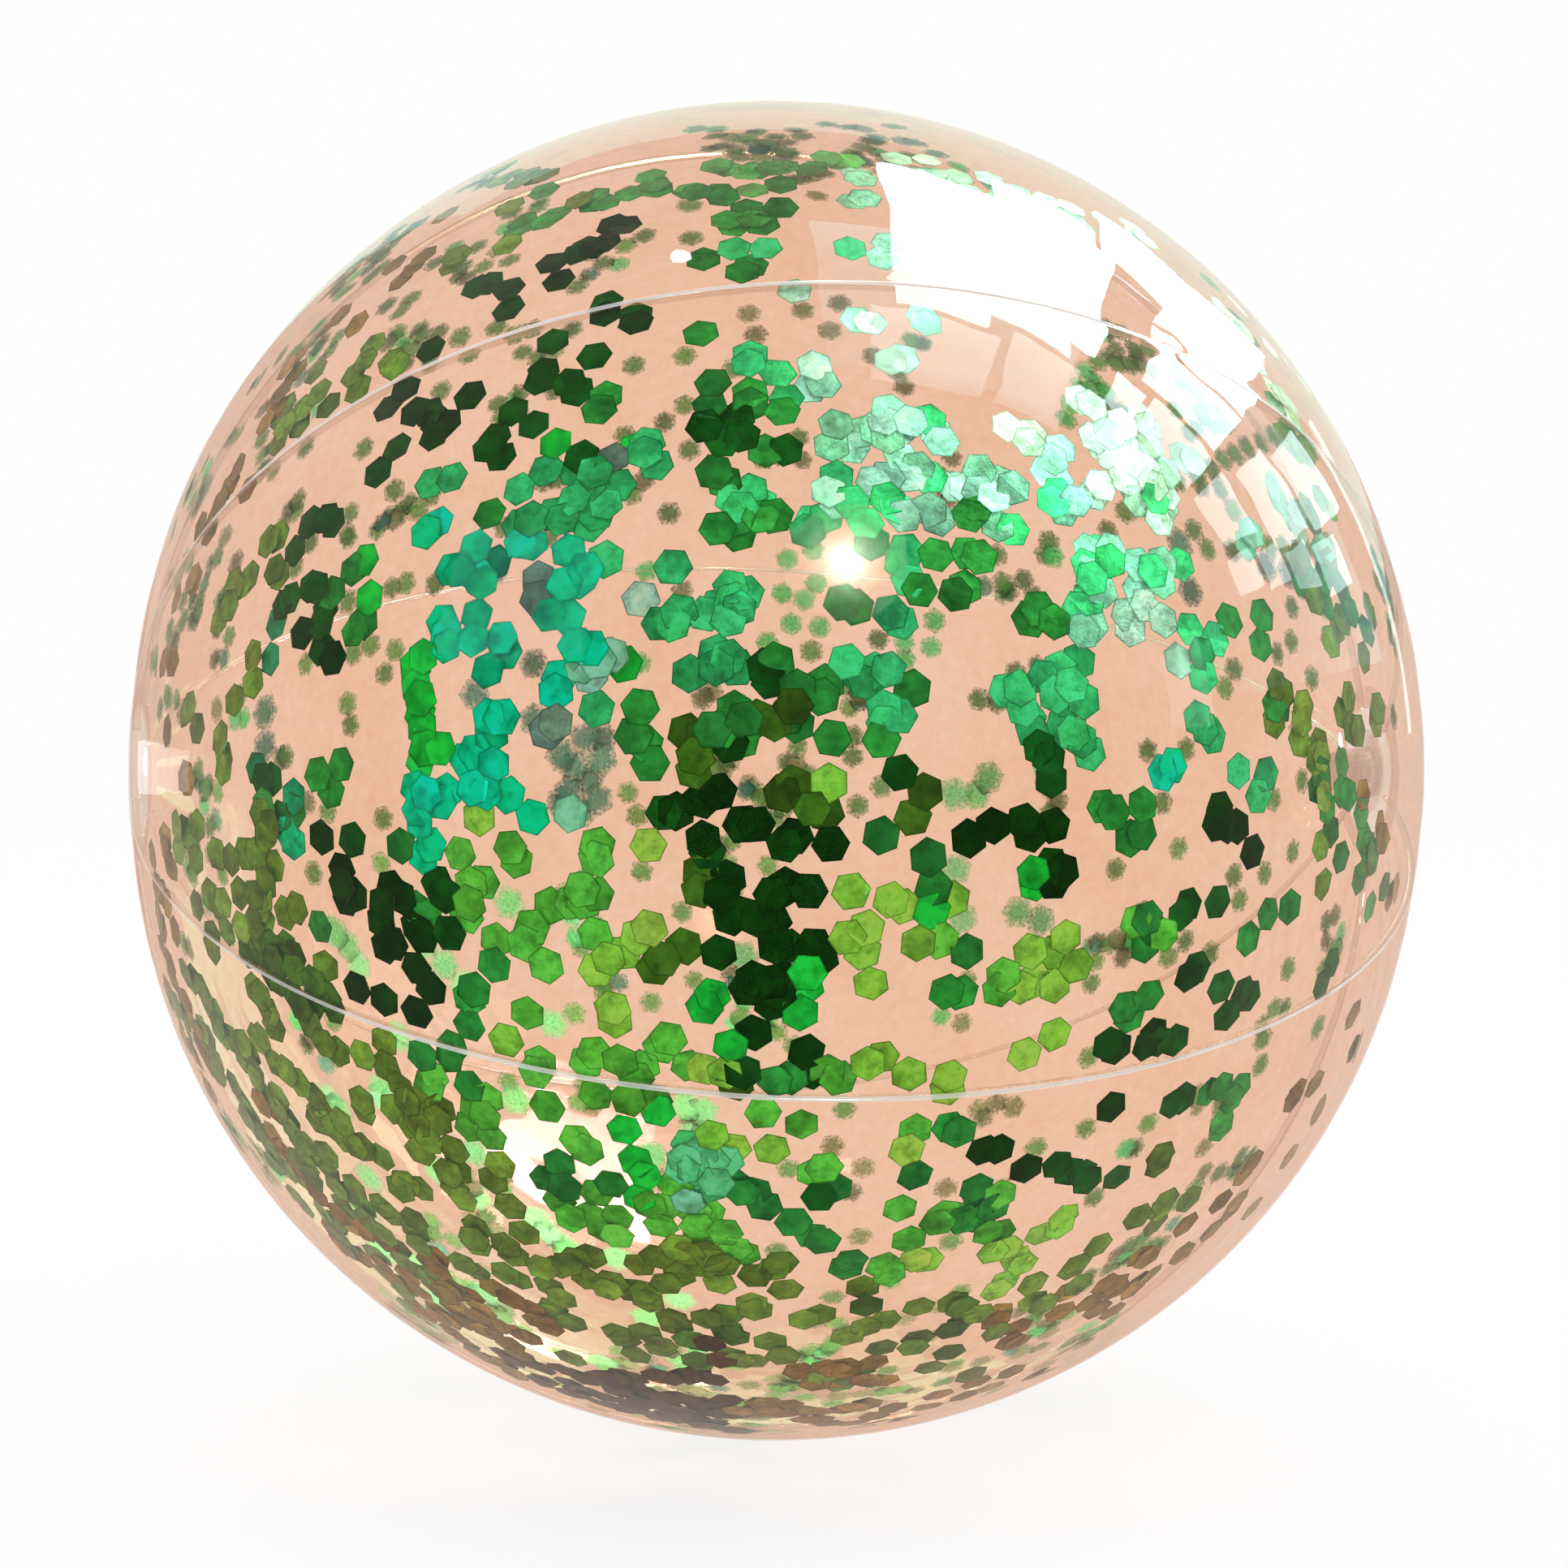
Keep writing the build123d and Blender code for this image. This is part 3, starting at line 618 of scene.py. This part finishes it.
# Drifts near the limb, where the flakes lie too flat to the eye to be told apart: from pixel, to pixel,
# half width in pixels, how many, and tone
DRIFTS = [
    (188, 1020, 205, 1200, 10, 9, "tan"), (205, 1210, 300, 1330, 24, 24, "olive"),
    (200, 1200, 260, 1340, 10, 10, "tan"), (235, 1135, 345, 1105, 26, 12, "olive"),
    (300, 1335, 380, 1470, 22, 20, "olive"), (300, 1160, 350, 1180, 16, 5, "moss"),
    (395, 1480, 520, 1600, 26, 20, "olive"), (520, 1600, 640, 1690, 20, 18, "tan"),
    (695, 1705, 905, 1752, 14, 22, "brown"), (1600, 620, 1700, 900, 18, 9, "olive"),
    (1600, 700, 1700, 770, 14, 8, "deep"), (1640, 940, 1700, 1120, 22, 12, "deep"),
    (1570, 860, 1640, 940, 16, 6, "olive"), (1480, 300, 1640, 500, 8, 16, "mint"),
    (1100, 190, 1420, 290, 10, 18, "mint"), (1660, 900, 1715, 1120, 12, 7, "tan"),
    (905, 1745, 1120, 1750, 12, 14, "tan"), (1225, 1640, 1400, 1580, 14, 8, "tan"),
    (1380, 1600, 1560, 1450, 16, 9, "tan"), (980, 1700, 1100, 1690, 14, 8, "tan"),
    (600, 215, 665, 212, 8, 6, "olive"), (1105, 1745, 1290, 1690, 8, 8, "tan"),
    (330, 1190, 400, 1240, 20, 7, "moss"), (740, 1728, 915, 1762, 12, 18, "brown"),
    (1500, 370, 1560, 450, 6, 6, "mint"), (1565, 470, 1605, 520, 6, 4, "mint"),
]


# Chance drifts over the rest of the ball: how many on the far wall and beside the limb, and flakes in each
FAR_DRIFTS = 52
SIDE_DRIFTS = 46
FLAKES_PER_DRIFT = 9

# Share of the near flakes with a partner, and how far off it lies; the least distance between flakes, and the
# radius about each pole that stays bare. Metres.
PARTNER_SHARE = 0.42
PARTNER_REACH = (0.0029, 0.0036)
LEAST_APART = 0.0027
BARE_POLE = 0.034
PLAIN_TONES = ["haze", "umber", "slate"]

# The far wall mirrors a window here, in pixels, and few flakes lie in the way
GLOW_MIDDLE = np.array([712.0, 1445.0])
GLOW_REACH = 115


def placed(table):
    """Pixels and tones of the flakes that a table holds."""
    pixels = np.concatenate([np.array(flat, float).reshape(-1, 2) for flat in table.values()])
    return pixels, [tone for tone, flat in table.items() for _ in range(len(flat) // 2)]


def along_drifts():
    """Pixels and tones of the drifts' flakes. They lie along each drift's line one after another, and off it by
    a share of its half width, to one side and the other in turn."""
    pixels, tones = [], []
    for x0, y0, x1, y1, half, count, tone in DRIFTS:
        share = (np.arange(count) + rng.uniform(0.2, 0.8, count)) / count
        line = np.array([x0, y0]) + share[:, None] * np.array([x1 - x0, y1 - y0])
        aside = np.array([y0 - y1, x1 - x0]) / math.hypot(x1 - x0, y1 - y0)
        off = half * np.where(np.arange(count) % 2, 1, -1) * np.sqrt(rng.uniform(0.02, 1.0, count))
        pixels.append(line + off[:, None] * aside)
        tones += [tone] * count
    return np.concatenate(pixels), tones


def gore_of(points):
    """Index of the gore that holds each point or direction."""
    angle = np.arctan2(points[:, 2], -points[:, 1])
    return np.floor((angle - MIDDLES[0] + HALF_GORE) / (2 * HALF_GORE)).astype(int) % GORES


def on_wall(direction):
    """Points of the wall and outward normals in these directions from the ball's middle."""
    centre = GORE_OFFSET * out_of_axis(MIDDLES[gore_of(direction)])
    lean = (direction * centre).sum(axis=1)
    reach = lean + np.sqrt(lean**2 + GORE_RADIUS**2 - GORE_OFFSET**2)
    points = reach[:, None] * direction
    return points, unit(points - centre)


def scattered_drifts(count, each, wanted):
    """Directions of flakes in short drifts whose middles fall where wanted says, over the whole ball."""
    middles = unit(rng.normal(size=(count * 6, 3)))
    middles = middles[rng.random(len(middles)) < wanted(middles)][:count]
    lean = unit(np.cross(middles, rng.normal(size=middles.shape)))
    number = rng.integers(3, 2 * each - 2, len(middles))
    owner = np.repeat(np.arange(len(middles)), number)
    length = number[owner] * rng.uniform(0.010, 0.017, len(middles))[owner]
    along = rng.uniform(-0.5, 0.5, len(owner)) * length
    side = rng.normal(size=len(owner)) * rng.uniform(0.012, 0.04, len(middles))[owner]
    other = np.cross(middles, lean)
    return unit(middles[owner] + along[:, None] * lean[owner] + side[:, None] * other[owner])


def choose(names, count, odds):
    """Tones drawn with these odds."""
    return list(np.array(names)[rng.choice(len(names), size=count, p=np.array(odds) / sum(odds))])


def thin_out(points, least):
    """Which points to keep so that no two are closer than least."""
    tree = KDTree(len(points))
    for number, point in enumerate(points):
        tree.insert(point, number)
    tree.balance()
    kept = np.ones(len(points), bool)
    for number, point in enumerate(points):
        if kept[number]:
            for _, other, _ in tree.find_range(point, least):
                if other > number:
                    kept[other] = False
    return kept


def flake_mesh(name, points, normals, tones, inner_tones, scale):
    """Hexagons of thin film inside the wall, with a middle and six corners on either side: corner k lies
    at middle + size (cos(k pi/3) tangent + sin(k pi/3) second) + lift normal. The lift is a small fold across
    the flake and a little chance. Each flake is a little tilted and more or less deep, so that they shingle."""
    count = len(points)
    tangent = unit(np.cross(normals, rng.normal(size=(count, 3))))
    tilt = np.radians(rng.normal(0, 2.2, (count, 2)))
    second = np.cross(normals, tangent)
    normal = unit(normals + tilt[:, :1] * tangent + tilt[:, 1:] * second)
    tangent = unit(np.cross(second, normal))
    second = np.cross(normal, tangent)
    corner = np.arange(6) * math.pi / 3
    across = np.cos(corner)[None, :, None] * tangent[:, None] + np.sin(corner)[None, :, None] * second[:, None]
    size = FLAT_TO_FLAT / math.sqrt(3) * rng.uniform(0.95, 1.04, (count, 1, 1))
    size = size * scale[:, None, None]
    fold_turn = rng.uniform(0, math.pi, (count, 1))
    fold = rng.gamma(1.2, 0.00009, (count, 1)) * np.cos(corner[None] - fold_turn) ** 2
    lift = fold * rng.choice([-1, 1], (count, 1)) + rng.normal(0, 0.00003, (count, 6))
    deep = rng.uniform(0, 0.0011, (count, 1))
    middle = points - (FILM + WALL_GAP + deep + 0.00012) * normals
    ring = middle[:, None] + size * across + lift[..., None] * normal[:, None]
    flat = np.concatenate([middle[:, None], ring], axis=1)
    under = flat - FLAKE_THICKNESS * normal[:, None]
    every = np.concatenate([flat, under], axis=1).reshape(-1, 3)
    edge = np.arange(6)
    after = (edge + 1) % 6
    top = np.stack([0 * edge, 1 + edge, 1 + after], axis=-1)
    bottom = np.stack([0 * edge + 7, 8 + after, 8 + edge], axis=-1)
    rim = np.stack([1 + edge, 8 + edge, 8 + after, 1 + after], axis=-1)
    base = 14 * np.arange(count)[:, None, None]
    faces = [(np.concatenate([top, bottom])[None] + base).reshape(-1, 3), (rim[None] + base).reshape(-1, 4)]
    piece = add_mesh(name, every, faces, smooth=False)
    vary = rng.uniform(0.72, 1.38, (count, 1)) * rng.uniform(0.92, 1.08, (count, 3))
    sides = [np.array([TONES[t] for t in names]) for names in (tones, inner_tones)]
    for side in sides:
        side[:, :3] *= vary
    colours = np.clip(np.concatenate([np.repeat(side[:, None], 7, axis=1) for side in sides], axis=1), 0, 1)
    outward = np.tile(([0.0] + [1.0] * 6) * 2, count)
    inner = np.tile([0.0] * 7 + [1.0] * 7, count)
    apart = np.repeat(rng.uniform(-1, 1, (count, 3)), 14, axis=0)
    layers = [
        ("tone", "FLOAT_COLOR", "color", colours), ("outward", "FLOAT", "value", outward),
        ("inner", "FLOAT", "value", inner), ("apart", "FLOAT_VECTOR", "vector", apart),
    ]
    for layer, kind, field, values in layers:
        held = piece.data.attributes.new(layer, kind, "POINT").data
        held.foreach_set(field, values.astype(np.float32).ravel())
    return piece


# Colours of the film: what two walls let through is the square of one face's tint to the fourth
PEACH = (0.948, 0.826, 0.740, 1.0)
PEACH_SPOTS = (0.967, 0.864, 0.796, 1.0)
clear_film = film_material("clear_film_gloss", PEACH, PEACH_SPOTS, 0.004, 0.0)
inner_film = inner_film_material("clear_film_inside", PEACH, PEACH_SPOTS)
CLEARER, CLEARER_SPOTS = (0.985, 0.975, 0.965, 1.0), (0.99, 0.98, 0.975, 1.0)
weld_film = film_material("welded_film", CLEARER, CLEARER_SPOTS, 0.01, 0.14, 0.12)
weld_line = film_material("weld_line", CLEARER, CLEARER_SPOTS, 0.05, 0.85, 0.25)
disc_film = film_material("disc_film", (0.985, 0.97, 0.96, 1.0), (0.99, 0.98, 0.97, 1.0), 0.012, 0.06)
flake_finish = flake_material("metallic_flake")


def dress(piece, body, slot, *finishes):
    """Gives a piece its materials and its body; slot is not used."""
    for finish in finishes:
        piece.data.materials.append(finish)
    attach(piece, body)


film_pieces = []
for index in range(GORES):
    gore = make_gore(index)
    film_pieces.append(gore)
    dress(gore, "ball", "clear_film", clear_film, inner_film, weld_film, weld_line)
    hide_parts(f"panel_{index + 1}")

for name, side, flat, hole in [("plain", -1, 0, 0.00001), ("valve", 1, FLAT_RADIUS, DISC_HOLE)]:
    disc = make_disc(f"disc_{name}", side, flat, hole)
    film_pieces.append(disc)
    dress(disc, "ball", "clear_film", disc_film)
    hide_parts(f"end_disc_{name}")

# Flakes: those that the photograph shows, drifts near the limb, and chance drifts over the rest of the ball
def on_the_far_side(direction):
    """Share of drifts that start here: none on the near wall, and more low down and to the left."""
    wanted = 0.45 - 0.25 * direction[:, 2] - 0.2 * direction[:, 0]
    return np.where(direction @ camera_back > 0.2, 0, wanted)


def beside_the_limb(direction):
    """Share of drifts that start here: all in a belt along the ball's outline."""
    return np.where(np.abs(direction @ camera_back + 0.08) < 0.26, 1, 0)


OUTER = ["dark", "deep", "mid", "bright", "olive", "lime"]
pixels, tones = placed(NEAR)
drift_pixels, drift_tones = along_drifts()
pixels = np.concatenate([pixels, drift_pixels])
near, near_normals = wall_points(pixels)
tones += drift_tones
clear_of_glow = np.hypot(*(pixels - GLOW_MIDDLE).T) > GLOW_REACH
behind = np.flatnonzero((rng.random(len(near)) < PARTNER_SHARE) & ~np.isnan(near[:, 0]) & clear_of_glow)
aside = unit(np.cross(near_normals[behind], rng.normal(size=(len(behind), 3))))
shift = rng.uniform(*PARTNER_REACH, (len(behind), 1))
partners, partner_normals = on_wall(unit(near[behind] + shift * aside))
near, near_normals = np.concatenate([near, partners]), np.concatenate([near_normals, partner_normals])
tones += [tones[number] for number in behind]
pixels, far_inner = placed(FAR)
far, far_normals = wall_points(pixels, far=True)
rest = np.concatenate([
    scattered_drifts(FAR_DRIFTS, FLAKES_PER_DRIFT, on_the_far_side),
    scattered_drifts(SIDE_DRIFTS, FLAKES_PER_DRIFT, beside_the_limb),
])
glow_way = unit(wall_points(GLOW_MIDDLE[None], far=True)[0][0])
rest = rest[(rest @ camera_back < 0.22) & (rest @ glow_way < 0.990)]
rest_points, rest_normals = on_wall(rest)
tones += choose(OUTER, len(far) + len(rest), [2, 4, 4, 1, 3, 1])
inner_tones = choose(PLAIN_TONES, len(near), [4, 2, 1]) + far_inner
inner_tones += choose(PLAIN_TONES + ["fresh"], len(rest), [6, 3, 1, 1])
far_scale = np.where(np.isin(far_inner, ["jade", "slate"]), 1.5, 1.1)
scale = np.concatenate([np.full(len(near), 1.02), far_scale, np.ones(len(rest))])
points = np.concatenate([near, far, rest_points])
normals = np.concatenate([near_normals, far_normals, rest_normals])
parts = [points, normals, np.array(tones), np.array(inner_tones), scale]
seen = ~np.isnan(points[:, 0])
parts = [part[seen] for part in parts]
kept = thin_out(parts[0], LEAST_APART) & (np.hypot(parts[0][:, 1], parts[0][:, 2]) > BARE_POLE)
parts = [part[kept] for part in parts]
owner = gore_of(parts[0])
flake_pieces = []
for index in range(GORES):
    flakes = flake_mesh(f"flakes_{index + 1}", *[part[owner == index] for part in parts])
    dress(flakes, "ball", "flake_film", flake_finish)
    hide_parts(f"glitter_{index + 1}")
    flake_pieces.append(flakes)

# Loose flakes at the bottom, a little deeper than those that cling
lowest = unit(np.array([0, 0, -1.0]) + rng.normal(0, 0.16, (90, 3)))
rest_points, rest_normals = on_wall(lowest)
rest_points = rest_points - 0.0013 * rest_normals
keep = thin_out(rest_points, 0.005)
outer = choose(["olive", "brown", "moss"], keep.sum(), [3, 3, 2])
inner_tones = choose(PLAIN_TONES[:2], keep.sum(), [1, 1])
plain = np.ones(keep.sum())
loose = flake_mesh("flakes_loose", rest_points[keep], rest_normals[keep], outer, inner_tones, plain)
dress(loose, "ball", "flake_film", flake_finish)
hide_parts("glitter_loose")
flake_pieces.append(loose)

# Valve: the source's own pieces in soft cloudy plastic
CLOUDY, CLOUDY_SPOTS = (0.97, 0.95, 0.94, 1.0), (0.98, 0.97, 0.96, 1.0)
valve_plastic = film_material("valve_plastic_clear", CLOUDY, CLOUDY_SPOTS, 0.03, 0.12)
for name in ("valve_collar", "valve_web", "valve_stem", "stopper", "check_flap"):
    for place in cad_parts[name].material_slots:
        place.material = valve_plastic


# Studio


def daylight(tree):
    """Share of rays that see the plain white surroundings: straight, mirrored or let through."""
    path = add(tree, "ShaderNodeLightPath").outputs
    first = maths(tree, "MAXIMUM", path["Is Camera Ray"], path["Is Glossy Ray"])
    return maths(tree, "MAXIMUM", first, path["Is Transmission Ray"])


world = bpy.data.worlds.new("studio")
scene.world = world
world.use_nodes = True
tree = world.node_tree
tree.nodes.clear()
strength = spread(tree, daylight(tree), 0, 1, 0.95, 1.0)
surround = add(tree, "ShaderNodeBackground", {"Color": (1, 1, 1, 1), "Strength": strength})
add(tree, "ShaderNodeOutputWorld", {"Surface": surround.outputs[0]})

FLOOR_REACH = 6.0
FLOOR_DROP = 0.0001
corners = FLOOR_REACH * np.array([[-1.0, -1, 0], [1, -1, 0], [1, 1, 0], [-1, 1, 0]])
corners[:, 2] = float(cad_low[2]) - FLOOR_DROP
floor = add_mesh("floor", corners, [np.array([[0, 1, 2, 3]])])
paper, tree = new_material("floor_paper")
share = spread(tree, daylight(tree), 0, 1, 0.0, 0.8)
matt = add(tree, "ShaderNodeBsdfDiffuse", {"Color": (0.93, 0.93, 0.93, 1)})
white = add(tree, "ShaderNodeEmission", {"Color": (1, 1, 1, 1), "Strength": 1.03})
add(tree, "ShaderNodeOutputMaterial", {"Surface": mixed(tree, share, matt.outputs[0], white.outputs[0])})
floor.data.materials.append(paper)


def lamp(name, place, towards, width, height, radiance, colour, mirrored_by):
    """A flat lamp of this radiance. One with a collection of pieces is mirrored by these alone and lights no
    matt face. One without is mirrored by nothing and lights every matt face."""
    light = bpy.data.lights.new(name, "AREA")
    light.shape = "ELLIPSE" if "glint" in name else "RECTANGLE"
    light.size, light.size_y = width, height
    light.energy = radiance * math.pi * width * height * (math.pi / 4 if "glint" in name else 1)
    light.color = colour
    holder = bpy.data.objects.new(name, light)
    back = unit(np.array(place, float) - np.array(towards, float))
    upward = np.array([0.0, 0.0, 1.0]) if abs(back[2]) < 0.99 else np.array([0.0, 1.0, 0.0])
    side = unit(np.cross(upward, back))
    top = np.cross(back, side)
    rows = [list(axis) + [0] for axis in (side, top, back)] + [list(place) + [1]]
    holder.matrix_world = Matrix(rows).transposed()
    holder.visible_camera = False
    holder.visible_glossy = mirrored_by is not None
    holder.visible_diffuse = mirrored_by is None
    if mirrored_by:
        holder.light_linking.receiver_collection = mirrored_by
    scene.collection.objects.link(holder)


# Windows that only the film mirrors; the flakes' satin gets its light from softer lamps. The skylight's panes
# lie level at WALL metres, the side window's stand upright at WALL metres to the right. Each pane: from, to
# across, from, to along (shares of WALL) and radiance.
WALL = 1.5
SKYLIGHT = [
    (0.23, 0.46, -0.20, 0.42, 40.0), (0.46, 0.70, -0.14, 0.60, 40.0), (0.70, 0.765, -0.06, 0.46, 40.0),
    (0.72, 1.02, 0.47, 0.95, 40.0), (0.18, 0.50, -0.50, -0.22, 17.0), (0.53, 0.76, -0.50, -0.17, 15.0),
]
SIDE_WINDOW = [
    (0.01, 0.31, 0.71, 1.06, 26.0), (0.335, 0.95, 0.71, 1.06, 26.0), (-0.23, -0.02, 0.70, 0.98, 22.0),
    (-0.46, -0.27, 0.80, 1.10, 32.0), (-0.24, -0.04, 1.01, 1.16, 32.0),
    (-0.22, -0.02, 0.50, 0.66, 18.0), (0.03, 0.28, 0.43, 0.63, 11.0), (0.31, 0.63, 0.42, 0.60, 7.0),
    (-0.24, -0.12, 0.38, 0.47, 16.0), (-0.10, 0.04, 0.36, 0.45, 12.0), (0.06, 0.21, 0.33, 0.42, 8.5),
    (0.235, 0.42, 0.30, 0.40, 7.0), (-0.65, -0.47, 0.09, 0.33, 9.0), (0.22, 0.50, -0.25, -0.17, 6.0),
    (0.80, 0.88, 0.05, 0.55, 3.0),
]
WINDOW_COLOUR = (0.7, 0.95, 1.0)


def group_of(name, pieces):
    """A collection that holds these pieces."""
    group = bpy.data.collections.new(name)
    for piece in pieces:
        group.objects.link(piece)
    return group


films = group_of("films", film_pieces)
low_back = group_of("low_back", film_pieces[2:5])
glitter = group_of("glitter", flake_pieces)
for name, panes, axis in [("skylight", SKYLIGHT, 2), ("pane", SIDE_WINDOW, 0)]:
    for number, (low, high, near_end, far_end, radiance) in enumerate(panes):
        middle = WALL * np.insert([(low + high) / 2, (near_end + far_end) / 2], axis, 1.0)
        size = (WALL * (high - low), WALL * (far_end - near_end))
        lamp(f"{name}_{number + 1}", middle, middle - np.eye(3)[axis], *size, radiance, WINDOW_COLOUR, films)

# Veils, glows, glints and soft lamps: name, place, what it faces, width, height, radiance, colour and which
# pieces mirror it
WHITE = (1, 1, 1)
MIDDLE = (0, 0, 0)
LAMPS = [
    ("sky_veil", (0.60, -0.32, 1.52), (0.60, -0.32, 0), 1.0, 0.75, 6.0, (0.35, 0.9, 1.0), films),
    ("side_veil", (1.52, 0.0, 0.80), (0, 0, 0.80), 1.5, 1.1, 1.5, (0.4, 0.9, 1.0), films),
    ("rim_veil", (0.55, 1.7, 1.15), MIDDLE, 2.6, 1.6, 1.3, (0.35, 1.0, 0.95), films),
    ("rim_soft", (0.75, 1.3, 1.2), MIDDLE, 1.6, 1.4, 3.0, WHITE, glitter),
    ("low_back_veil", (0.9, 1.5, 0.9), MIDDLE, 2.2, 1.8, 6.0, (0.15, 1.0, 0.7), low_back),
    ("low_back_glow", (0.80, 0.08, 1.36), (0.80, 0.08, 0), 0.72, 0.84, 380.0, (0.40, 0.62, 1.0), low_back),
    ("low_back_gleam", (0.50, 1.83, 0.74), MIDDLE, 0.36, 0.26, 45.0, (0.8, 0.95, 1.0), low_back),
    ("left_patch", (-1.40, 1.42, 0.0), MIDDLE, 1.0, 0.13, 1.9, (0.95, 0.92, 1.0), films),
    ("left_glint", (-1.22, 1.60, 0.02), MIDDLE, 0.06, 0.06, 24.0, WHITE, films),
    ("lavender", (-1.26, -1.03, 0.76), MIDDLE, 0.8, 0.6, 7.0, (0.45, 0.52, 1.0), films),
    ("ceiling_soft", (0.3, -0.5, 2.2), MIDDLE, 1.6, 1.6, 0.5, WHITE, None),
    ("key_soft", (1.6, -0.9, 1.5), MIDDLE, 1.2, 1.2, 1.0, WHITE, None),
    ("satin_soft", (0.46, -1.0, 1.65), MIDDLE, 1.5, 0.9, 1.6, WHITE, glitter),
    ("pale_soft", (1.32, -0.74, 1.22), MIDDLE, 0.9, 1.1, 3.2, (0.8, 1.0, 1.0), glitter),
    ("inside_soft", (0.95, 0.0, 1.65), MIDDLE, 1.3, 1.2, 3.5, WHITE, glitter),
]
for each in LAMPS:
    lamp(*each)

# The sun's glint with its halo: size and radiance of one disc in front of another
SUN = [(0.13, 500.0), (0.19, 160.0), (0.28, 70.0), (0.42, 34.0), (0.64, 18.0)]
SUN_COLOUR = (0.9, 1.0, 0.7)
for number, (size, radiance) in enumerate(SUN):
    place = (0.14, -1.70 - 0.01 * number, 1.06)
    lamp(f"sun_glint_{number + 1}", place, MIDDLE, size, size, radiance, SUN_COLOUR, films)
lamp("top_glint", (-0.40, -0.08, 2.05), MIDDLE, 0.14, 0.08, 90.0, WHITE, films)
lamp("right_glint", (1.9, 0.24, 0.1), MIDDLE, 0.05, 0.05, 40.0, WHITE, films)

# Camera
view = bpy.data.cameras.new("camera")
view.sensor_width = SENSOR
view.lens = FOCAL_PIXELS * SENSOR / IMAGE_SIDE
view.shift_x = (IMAGE_SIDE / 2 - BALL_MIDDLE[0]) / IMAGE_SIDE
view.shift_y = (BALL_MIDDLE[1] - IMAGE_SIDE / 2) / IMAGE_SIDE
view.clip_start, view.clip_end = 0.01, 100
camera = bpy.data.objects.new("camera", view)
scene.collection.objects.link(camera)
camera.location = camera_place
camera.rotation_euler = (math.pi / 2, 0, CAMERA_AZIMUTH)
scene.camera = camera

scene.view_settings.view_transform = "Standard"
scene.cycles.transparent_max_bounces = 32
scene.cycles.max_bounces = 14
